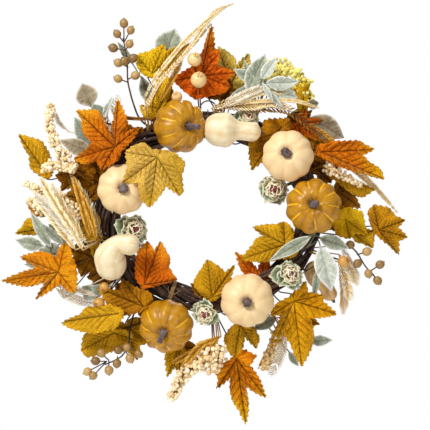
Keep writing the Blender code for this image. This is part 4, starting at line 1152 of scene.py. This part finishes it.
buds = {
    # clock, out, ahead, radius, opens towards, tilt
    "artichoke_1": (257, -31, 23, 21.5, 90, 12),
    "artichoke_2": (71, -37, 20, 21.0, 270, 5),
    "artichoke_3": (128, 6, 36, 20.0, 60, 20),
    "artichoke_4": (181, 14, 35, 18.5, 230, 18),
    "hidden": (23, 13, 14, 17.0, 30, 25),
}
budPetals = {"count": 14, "goldenTurn": 137.5, "thick": 0.9 * mm}


def petalShape(long, wide, cup, curl, rng):
    # a broad ragged petal on its own grid: u along, v across
    rows, columns = 9, 9
    points, rims = [], []
    waves = [rng.uniform(0, 6.3) for _ in range(3)]
    for row in range(rows + 1):
        u = row / rows
        width = wide * (0.42 + 0.62 * math.sin(math.pi * min(1, u + 0.08) * 0.62))
        for column in range(columns):
            v = (column / (columns - 1) - 0.5) * 2
            ragged = 0.09 * math.sin(9 * v + waves[0]) + 0.07 * math.sin(17 * v + waves[1])
            reach = long * (u + u ** 3 * (-0.30 * abs(v) ** 2.2 + ragged))
            wave = 0.10 * long * u * u * math.sin(5 * v + waves[2])
            lift = cup * v * v * wide * (1 - 0.4 * u) + curl * u * u * long + wave
            points.append((reach, v * width / 2 * (1 - 0.35 * u ** 4), lift))
            rims.append(max(u ** 2.5, abs(v) ** 3))
    faces = []
    for row in range(rows):
        for column in range(columns - 1):
            here = row * columns + column
            faces.append((here, here + 1, here + columns + 1, here + columns))
    return np.array(points), faces, np.array(rims)


def buildBud(node, clock, out, ahead, radius, turn, tilt):
    rng = random.Random(int(clock))
    axis = unit(front * math.cos(math.radians(tilt)) + heading(turn) * math.sin(math.radians(tilt)))
    side = unit(np.cross(axis, [0.2, 0.1, 0.95]))
    up = np.cross(axis, side)
    centre = place(clock, out, ahead)
    size = radius * mm
    basket = newBasket()
    for number in range(budPetals["count"]):
        share = number / (budPetals["count"] - 1)
        angle = math.radians(budPetals["goldenTurn"] * number + rng.uniform(-14, 14))
        outwards = side * math.cos(angle) + up * math.sin(angle)
        open_ = math.radians(10 + 54 * share ** 0.9 + rng.uniform(-7, 7))
        way = outwards * math.cos(open_) + axis * math.sin(open_)
        inner = axis * math.cos(open_) - outwards * math.sin(open_)
        across = np.cross(inner, way)
        long = size * (0.84 - 0.32 * share) * rng.uniform(0.88, 1.10)
        base = centre + outwards * size * 0.24 * (1 - share) + axis * size * (-0.34 + 0.50 * share)
        curl = rng.uniform(-0.16, 0.06) + 0.26 * share
        flat, faces, rim = petalShape(long, size * (1.22 - 0.40 * share), 0.34, curl, rng)
        points = (base + np.outer(flat[:, 0], way) + np.outer(flat[:, 1], across)
                  + np.outer(flat[:, 2], inner))
        addShape(basket, points, faces, 0, 0, rim, rng.random(), min(1, max(0.0, share - 0.22) * 2.2))
    heart, heartFaces = ballShape(10, 6)
    for number in range(5):
        away = (side * math.cos(number * 1.26) + up * math.sin(number * 1.26)) * size * 0.10
        addShape(basket, centre + axis * size * 0.48 + away + heart * size * 0.13, heartFaces, 1,
                 tone=rng.random())
    core, coreFaces = ballShape(12, 8)
    addShape(basket, centre - axis * size * 0.16 + core * size * 0.36, coreFaces, 0, tone=0.2)
    addShape(basket, *tube(smoothPath([place(clock) + unit(centre - place(clock)) * 8 * mm, centre]),
                           1.5 * mm, 6), 2)
    looks = [petalSkin, petalHeart, greenTwig]
    known = node != "hidden"
    makePiece(pieceName(node) if known else "artichokeHidden", basket, looks * 2,
              nodes=[node] if known else (),
              thick=budPetals["thick"])


for budNode, budValues in buds.items():
    buildBud(budNode, *budValues)
print("gourds and buds built")

# berries, seed heads and grasses

berrySprays = {
    # CAD node: body, root point and stem, then berries as (clock, out, ahead)
    "berry_spray_top": ("top_spray", 326, [(324, 33, 10), (328, 71, 12), (332, 99, 12), (334, 125, 12)],
                        [(336, 141, 12), (337, 130, 14), (333, 132, 15), (335, 115, 14), (330, 119, 12),
                         (334, 97, 16), (329, 100, 12), (331, 98, 19), (332, 77, 15), (326, 83, 14)]),
    "berry_spray_right": ("wreath", 103, [(103, 28, 20), (104, 57, 20), (109, 79, 20), (111, 94, 20)],
                          [(104, 75, 20), (107, 95, 20), (111, 86, 22), (112, 100, 18), (109, 69, 22),
                           (104, 38, 24), (103, 53, 24)]),
    "berry_spray_bottom": ("bottom_spray", 217, [(217, 32, 12), (214, 56, 16), (211, 76, 20), (211, 93, 20),
                                                (214, 111, 20)],
                           [(217, 129, 20), (215, 129, 24), (217, 113, 20), (217, 101, 22), (212, 114, 22),
                            (211, 102, 24), (213, 87, 24), (211, 80, 20), (208, 90, 22), (206, 81, 20)]),
}
berry = {"radius": 5.3 * mm, "stalk": 0.8 * mm, "seed": 21}


def buildBerrySpray(node, body, root, stem, berries):
    rng = random.Random(berry["seed"] + root)
    spine = [place(*point) for point in stem]
    start = place(root) + unit(spine[0] - place(root)) * 16 * mm
    path = smoothPath([start, *spine], 8)
    basket = newBasket()
    addShape(basket, *tube(path, np.linspace(1.3, 0.8, len(path)) * mm, 7, False, 0.12, rng), 1)
    ball, ballFaces = ballShape(18, 12)
    for clock, out, ahead in berries:
        middle = place(clock, out, ahead)
        near = min(path, key=lambda point: np.linalg.norm(point - middle))
        back = near - (spine[-1] - spine[0]) * 0.06
        bow = (back + middle) / 2 + front * 1.5 * mm
        addShape(basket, *tube(smoothPath([back, bow, middle], 4), berry["stalk"], 6), 1)
        way = unit(middle - back)
        size = berry["radius"] * rng.uniform(0.93, 1.05)
        stretch = ball + np.outer(ball.dot(way), way) * 0.10
        addShape(basket, middle + stretch * size, ballFaces, 0, tone=rng.uniform(0.1, 0.9))
        crown = middle + way * size * 1.08
        for number in range(5):
            angle = 2 * math.pi * number / 5
            sideways = unit(np.cross(way, [0.3, 0.8, 0.5]))
            other = np.cross(way, sideways)
            petal = sideways * math.cos(angle) + other * math.sin(angle)
            addShape(basket, *tube([crown, crown + petal * 0.9 * mm + way * 0.9 * mm],
                                   [0.45 * mm, 0.15 * mm], 4), 1)
    makePiece(pieceName(node), basket, [tanBerry, twigBark], body, [node])


for berryNode, berryValues in berrySprays.items():
    buildBerrySpray(berryNode, *berryValues)

hips = [
    # look, clock, out, ahead, radius in mm, calyx faces towards
    (ivoryHip, 355, 76, 36, 8.5, 20), (ivoryHip, 356, 51, 40, 9.6, 10), (ivoryHip, 345, 35, 34, 6.5, 330),
    (amberHip, 230, 55, 26, 7.0, 250), (amberHip, 234, 37, 24, 6.0, 200), (amberHip, 110, 52, 30, 7.2, 70),
]


def buildHips():
    basket = newBasket()
    looks = [ivoryHip, amberHip, twigBark]
    ball, ballFaces = ballShape(24, 16)
    for look, clock, out, ahead, radius, turn in hips:
        middle = place(clock, out, ahead)
        way = unit(heading(turn) * 0.75 + front)
        size = radius * mm
        addShape(basket, middle + ball * size, ballFaces, looks.index(look), tone=0.5)
        side = unit(np.cross(way, [0.3, 0.2, 0.9]))
        other = np.cross(way, side)
        for number in range(6):
            petal = side * math.cos(number * 1.047) + other * math.sin(number * 1.047)
            crown = [middle + way * size * 0.94 + petal * size * 0.1,
                     middle + way * size * 1.08 + petal * size * 0.28,
                     middle + way * size * 1.10 + petal * size * 0.48]
            addShape(basket, *tube(crown, np.array([0.17, 0.13, 0.04]) * size, 5), looks.index(look),
                     tone=0.0)
        root = place(clock) + unit(middle - place(clock)) * 12 * mm
        stalk = smoothPath([root, (root + middle) / 2 - front * 4 * mm, middle], 5)
        addShape(basket, *tube(stalk, 0.9 * mm, 6), 2)
    makePiece("roseHips", basket, looks)


buildHips()

seedSprays = {
    # CAD node: bead look, slot, root clock, bead radius in mm and the branches, each with its beads and
    # their spread
    "seed_spray_upper_left": (creamBead, "seed_cream", 280, 2.5, [
        (130, 10.0, [(288, 54, 26), (292, 70, 26), (298, 96, 24), (304, 112, 22)]),
        (90, 8.5, [(287, 44, 26), (288, 54, 26), (285, 82, 26)])]),
    "seed_spray_left": (creamBead, "seed_cream", 261, 2.3, [
        (50, 7.5, [(266, 30, 28), (271, 36, 28), (277, 56, 28)]),
        (100, 8.5, [(267, 32, 28), (269, 54, 27), (271, 79, 26), (274, 92, 24)])]),
    "seed_spray_bottom": (creamBead, "seed_cream", 178, 2.9, [
        (170, 13.0, [(177, 52, 32), (181, 72, 30), (188, 88, 28), (191, 120, 24)]),
        (70, 13.0, [(178, 52, 34), (176, 66, 34), (178, 84, 32)])]),
    "seed_spray_top_right": (limeBead, "seed_lime", 27, 2.4, [
        (230, 12.0, [(25, 60, -8), (23, 78, -8), (28, 91, -8), (38, 86, -8)]),
        (170, 12.0, [(27, 62, -4), (31, 74, -4), (38, 76, -4), (43, 70, -4)]),
        (90, 9.0, [(24, 72, -6), (27, 84, -4), (33, 92, -4)])]),
}
looseSeeds = [
    # look, root clock, bead radius and branches as above
    (creamBead, 285, 2.2, [(34, 7.0, [(288, 72, 22), (285, 82, 22)]),
                           (60, 7.5, [(275, 62, 24), (279, 100, 22)])]),
    (tanBead, 147, 2.4, [(110, 9.0, [(148, 56, 12), (154, 69, 12), (160, 93, 10)])]),
    (creamBead, 68, 2.4, [(60, 7.0, [(68, 26, 26), (73, 41, 26), (80, 64, 22)])]),
]


def addBeads(basket, path, count, radius, spread, rng):
    ball, ballFaces = ballShape(8, 5)
    path = np.array(smoothPath(path, 8))
    addShape(basket, *tube(path, np.linspace(0.8, 0.4, len(path)) * mm, 5), 1)
    for number in range(count):
        share = (number + rng.random()) / count
        spot = share * (len(path) - 1)
        index = min(len(path) - 2, int(spot))
        base = path[index] + (path[index + 1] - path[index]) * (spot - index)
        along = unit(path[index + 1] - path[index])
        angle = 2.4 * number + rng.uniform(-0.5, 0.5)
        sideways = unit(np.cross(along, [0.35, 0.8, 0.45]))
        away = sideways * math.cos(angle) + np.cross(along, sideways) * math.sin(angle)
        reach = spread * mm * rng.uniform(0.25, 1.0) * (1.05 - 0.55 * share)
        middle = base + away * reach + along * reach * 0.6
        addShape(basket, *tube([base, middle], [0.35 * mm, 0.25 * mm], 4), 1)
        addShape(basket, middle + ball * radius * mm * rng.uniform(0.75, 1.15), ballFaces, 0,
                 tone=rng.uniform(0.1, 0.9))


def buildSeeds(name, look, root, radius, branches, seed, nodes=(), slot="seed_cream"):
    rng = random.Random(seed)
    basket = newBasket()
    for count, spread, points in branches:
        path = [place(*point) for point in points]
        start = place(root) + unit(path[0] - place(root)) * 9 * mm
        addShape(basket, *tube(smoothPath([start, (start + path[0]) / 2, path[0]]), 0.9 * mm, 5), 1)
        addBeads(basket, path, count, radius, spread, rng)
    makePiece(name, basket, [look, goldGrass], nodes=nodes)


for sprayNumber, (sprayNode, (sprayLook, spraySlot, *sprayValues)) in enumerate(seedSprays.items()):
    buildSeeds(pieceName(sprayNode), sprayLook, *sprayValues, 40 + sprayNumber, [sprayNode], spraySlot)
for sprayNumber, sprayValues in enumerate(looseSeeds):
    buildSeeds(f"looseSeeds{sprayNumber + 1}", *sprayValues, 60 + sprayNumber)
print("berries and seed heads built")

grassKinds = {
    # spacing, length and thickness of the grains in mm, their opening and how much they scatter
    "braid": {"every": 3.2, "reach": 7.0, "thick": 1.9, "open": 0.46, "scatter": 0.10, "fat": True},
    "wheat": {"every": 2.4, "reach": 10.5, "thick": 2.0, "open": 0.55, "scatter": 0.16, "fat": True},
    "comb": {"every": 3.1, "reach": 11.0, "thick": 1.7, "open": 0.85, "scatter": 0.06, "fat": True},
    "feather": {"every": 0.9, "reach": 13.0, "thick": 1.1, "open": 0.50, "scatter": 0.35, "fat": False},
}


def addGrass(basket, kind, path, rng, look, size=1.0):
    # grains or barbs leave a thin rachis in pairs
    habit = grassKinds[kind]
    path = np.array(smoothPath(path, 10))
    along = np.concatenate([[0], np.cumsum(np.linalg.norm(np.diff(path, axis=0), axis=1))]) / mm
    addShape(basket, *tube(path, np.linspace(0.9, 0.35, len(path)) * mm, 5), look, rim=0.3, tone=0.3)
    count = int(along[-1] / (habit["every"] * size))
    for number in range(count):
        share = (number + 0.5) / count
        index = min(len(path) - 2, int(np.searchsorted(along, share * along[-1])) - 1)
        base = path[index] + (path[index + 1] - path[index]) * 0.5
        forward = unit(path[index + 1] - path[index])
        across = unit(np.cross(forward, front))
        taper = min(1.0, 0.5 + 2.0 * share, 0.35 + 2.6 * (1 - share))
        for side in (-1, 1):
            angle = habit["open"] * (1 + rng.uniform(-1, 1) * habit["scatter"])
            away = unit(across * side + front * (0.25 + rng.uniform(-1, 1) * habit["scatter"] * 1.6))
            way = forward * math.cos(angle) + away * math.sin(angle)
            long = habit["reach"] * size * taper * mm * (1 + rng.uniform(-0.5, 0.5) * habit["scatter"])
            thick = habit["thick"] * size * taper * mm
            middle = base + way * long * 0.5 + forward * long * 0.05
            end = base + way * long * 0.85 + forward * long * 0.22
            radii = [0.35, 1.0, 0.25] if habit["fat"] else [0.5, 0.45, 0.12]
            addShape(basket, *tube([base, middle, end], np.array(radii) * thick / 1.3, 4), look,
                     rim=[0.1] * 4 + [0.55] * 4 + [1.0] * 4, tone=rng.random())


plumes = {
    # CAD node: root clock and stems as (look, habit, size, points)
    "plume_top": (321, [
        (creamGrass, "braid", 1.0, [(331, 46, 36), (338, 62, 40), (346, 80, 42), (353, 100, 42),
                                    (0, 122, 40), (6, 143, 34)]),
        (creamGrass, "braid", 1.0, [(330, 34, 36), (340, 58, 38), (349, 78, 38), (356, 98, 38),
                                    (1, 118, 36)]),
        (creamGrass, "braid", 0.9, [(327, 33, 34), (339, 55, 38), (352, 84, 42), (359, 115, 40),
                                    (2, 133, 38), (7, 144, 34)]),
        (goldGrass, "braid", 0.9, [(334, 40, 34), (342, 62, 38), (349, 84, 40), (355, 98, 38)]),
        (goldGrass, "wheat", 0.8, [(336, 34, 32), (344, 54, 34), (350, 76, 34)])]),
    "plume_right": (61, [
        (creamGrass, "braid", 1.0, [(61, 29, 4), (70, 54, 4), (77, 72, 2), (85, 91, 0), (90, 107, -4)]),
        (creamGrass, "braid", 0.9, [(62, 32, 8), (68, 48, 8), (76, 66, 6), (83, 84, 2)]),
        (goldGrass, "braid", 0.9, [(47, 44, 8), (53, 50, 8), (59, 54, 8), (66, 58, 6), (71, 62, 4)])]),
    "plume_left": (256, [
        (creamGrass, "wheat", 1.1, [(253, 34, 40), (261, 38, 42), (269, 50, 42), (277, 68, 38),
                                    (281, 80, 34)]),
        (creamGrass, "wheat", 1.0, [(254, 42, 38), (262, 52, 40), (269, 66, 38), (275, 84, 34)]),
        (whiteGrass, "feather", 1.0, [(254, 30, 40), (262, 44, 42), (270, 62, 40), (276, 84, 36)]),
        (creamGrass, "feather", 0.9, [(256, 28, 42), (264, 34, 42), (272, 48, 40), (280, 66, 36)]),
        (goldGrass, "wheat", 0.9, [(258, 20, 42), (266, 22, 44), (275, 28, 44), (284, 42, 40)]),
        (goldGrass, "wheat", 0.8, [(256, 14, 42), (264, 14, 44), (272, 20, 44), (280, 34, 40)])]),
}
looseGrasses = [
    # root clock and stems as above
    (10, [(creamGrass, "comb", 1.0, [(2, 18, 24), (18, 37, 34), (24, 49, 36), (33, 60, 34)]),
          (creamGrass, "comb", 0.9, [(6, 22, 22), (22, 28, 32), (30, 40, 34), (39, 46, 32)]),
          (brownGrass, "comb", 0.9, [(4, 22, 20), (22, 26, 26), (39, 43, 28), (61, 48, 22)]),
          (creamGrass, "braid", 0.9, [(12, 24, 30), (26, 38, 36), (38, 56, 34), (47, 68, 28)]),
          (whiteGrass, "comb", 0.8, [(8, 20, 30), (17, 38, 38), (25, 56, 38)]),
          (goldGrass, "braid", 0.8, [(3, 14, 18), (16, 26, 22), (34, 34, 20)])]),
    (250, [(whiteGrass, "comb", 0.9, [(249, 21, 16), (266, 36, 18), (274, 61, 16), (280, 79, 12)]),
           (creamGrass, "feather", 0.8, [(255, 9, 22), (273, 19, 24), (285, 48, 20)])]),
    (176, [(goldGrass, "wheat", 1.0, [(174, 43, 34), (183, 54, 36), (189, 80, 32)]),
           (goldGrass, "wheat", 0.9, [(176, 46, 32), (186, 62, 32), (193, 78, 28)]),
           (goldGrass, "wheat", 0.9, [(175, 44, 36), (180, 62, 36), (184, 78, 32)])]),
    (112, [(creamGrass, "comb", 0.9, [(111, 48, 20), (116, 65, 18), (122, 84, 12)]),
           (creamGrass, "comb", 0.7, [(108, 44, 18), (112, 64, 18), (116, 82, 12)]),
           (goldGrass, "comb", 0.8, [(110, 50, 10), (120, 72, 8), (127, 89, 4)]),
           (whiteGrass, "comb", 0.7, [(104, 44, 8), (110, 62, 6), (114, 80, 4)])]),
    (236, [(whiteGrass, "comb", 0.9, [(239, 85, 14), (246, 78, 14), (252, 71, 14)]),
           (whiteGrass, "comb", 0.9, [(229, 56, 10), (237, 75, 10), (244, 79, 10)]),
           (whiteGrass, "feather", 0.8, [(232, 50, 16), (238, 62, 14), (241, 74, 10)])]),
    (148, [(whiteGrass, "comb", 1.0, [(147, 59, 4), (153, 84, 2), (159, 104, 0)]),
           (goldGrass, "braid", 0.9, [(150, 56, 2), (157, 76, 0), (162, 92, -2)])]),
    (318, [(whiteGrass, "comb", 0.9, [(314, 28, 14), (318, 52, 14), (322, 66, 12)]),
           (whiteGrass, "comb", 0.8, [(310, 34, 12), (312, 52, 12), (316, 66, 10)]),
           (brownGrass, "comb", 0.8, [(306, 22, 30), (314, 38, 30), (320, 50, 28)]),
           (brownGrass, "braid", 0.8, [(330, 18, 30), (320, 34, 28), (316, 50, 24)]),
           (whiteGrass, "feather", 0.6, [(300, 76, 6), (301, 92, 6), (303, 104, 4)])]),
]


def buildGrasses(name, root, stems, seed, nodes=()):
    rng = random.Random(seed)
    basket = newBasket()
    looks = list(dict.fromkeys(look for look, *_ in stems))
    for look, kind, size, points in stems:
        path = [place(*point) for point in points]
        start = place(root) + unit(path[0] - place(root)) * 9 * mm
        mouth = place(root) + unit(path[0] - place(root)) * 18 * mm
        addShape(basket, *tube(smoothPath([start, mouth, path[0]], 5), 0.8 * mm, 5), looks.index(look),
                 rim=0.2)
        addGrass(basket, kind, path, rng, looks.index(look), size)
    makePiece(name, basket, looks, nodes=nodes)


for grassNumber, (grassNode, grassValues) in enumerate(plumes.items()):
    buildGrasses(pieceName(grassNode), *grassValues, 70 + grassNumber, [grassNode])
for grassNumber, grassValues in enumerate(looseGrasses):
    buildGrasses(f"looseGrasses{grassNumber + 1}", *grassValues, 80 + grassNumber)
print("grasses built")

# camera, floor and light

view = {"distance": 1.9, "frameWidth": 0.5246, "right": 0.0085, "down": 0.0037, "sensor": 36.0,
        "floorHalf": 2.4, "floorHeight": -1.15, "sky": 0.38}
softboxes = {
    # position from the ring's centre in metres, size and power
    "keySoftbox": ((-1.15, -1.6, 1.35), 0.7, 46),
    "fillSoftbox": ((1.2, -1.8, -0.1), 1.2, 6),
    "topSoftbox": ((0.1, -0.3, 1.8), 0.9, 6),
    "backSoftbox": ((0.4, 1.8, 0.7), 1.0, 16),
}


def buildStudio():
    camera = bpy.data.cameras.new("camera")
    camera.sensor_width = view["sensor"]
    camera.lens = view["sensor"] * view["distance"] / view["frameWidth"]
    cameraObject = bpy.data.objects.new("camera", camera)
    away = Vector((view["right"], -view["distance"], -view["down"]))
    cameraObject.location = Vector(ring["centre"]) + away
    cameraObject.rotation_euler = (math.radians(90), 0, 0)
    bpy.context.scene.collection.objects.link(cameraObject)
    bpy.context.scene.camera = cameraObject

    half = view["floorHalf"]
    mesh = bpy.data.meshes.new("floor")
    mesh.from_pydata([(-half, -half, 0), (half, -half, 0), (half, half, 0), (-half, half, 0)], [],
                     [(0, 1, 2, 3)])
    mesh.materials.append(chalkyFloor("chalkyFloor"))
    floor = bpy.data.objects.new("floor", mesh)
    floor.location = (0, 0, view["floorHeight"])
    bpy.context.scene.collection.objects.link(floor)

    world = bpy.data.worlds.new("studio")
    bpy.context.scene.world = world
    world.use_nodes = True
    sky = world.node_tree.nodes["Background"]
    sky.inputs["Color"].default_value = (1.0, 0.98, 0.95, 1)
    sky.inputs["Strength"].default_value = view["sky"]
    paper = addNode(world.node_tree, "ShaderNodeBackground", {"Strength": 1.0, "Color": (1, 1, 1, 1)})
    seen = addNode(world.node_tree, "ShaderNodeLightPath")
    both = addNode(world.node_tree, "ShaderNodeMixShader",
                   links={0: seen.outputs["Is Camera Ray"], 1: sky.outputs[0], 2: paper.outputs[0]})
    world.node_tree.links.new(both.outputs[0], world.node_tree.nodes["World Output"].inputs["Surface"])

    for name, (offset, size, power) in softboxes.items():
        lamp = bpy.data.lights.new(name, "AREA")
        lamp.shape = "DISK"
        lamp.size = size
        lamp.energy = power
        lampObject = bpy.data.objects.new(name, lamp)
        lampObject.location = Vector(ring["centre"]) + Vector(offset)
        lampObject.rotation_euler = (-Vector(offset)).to_track_quat("-Z", "Y").to_euler()
        bpy.context.scene.collection.objects.link(lampObject)
    bpy.context.scene.view_settings.view_transform = "Standard"


buildStudio()
print("studio ready")
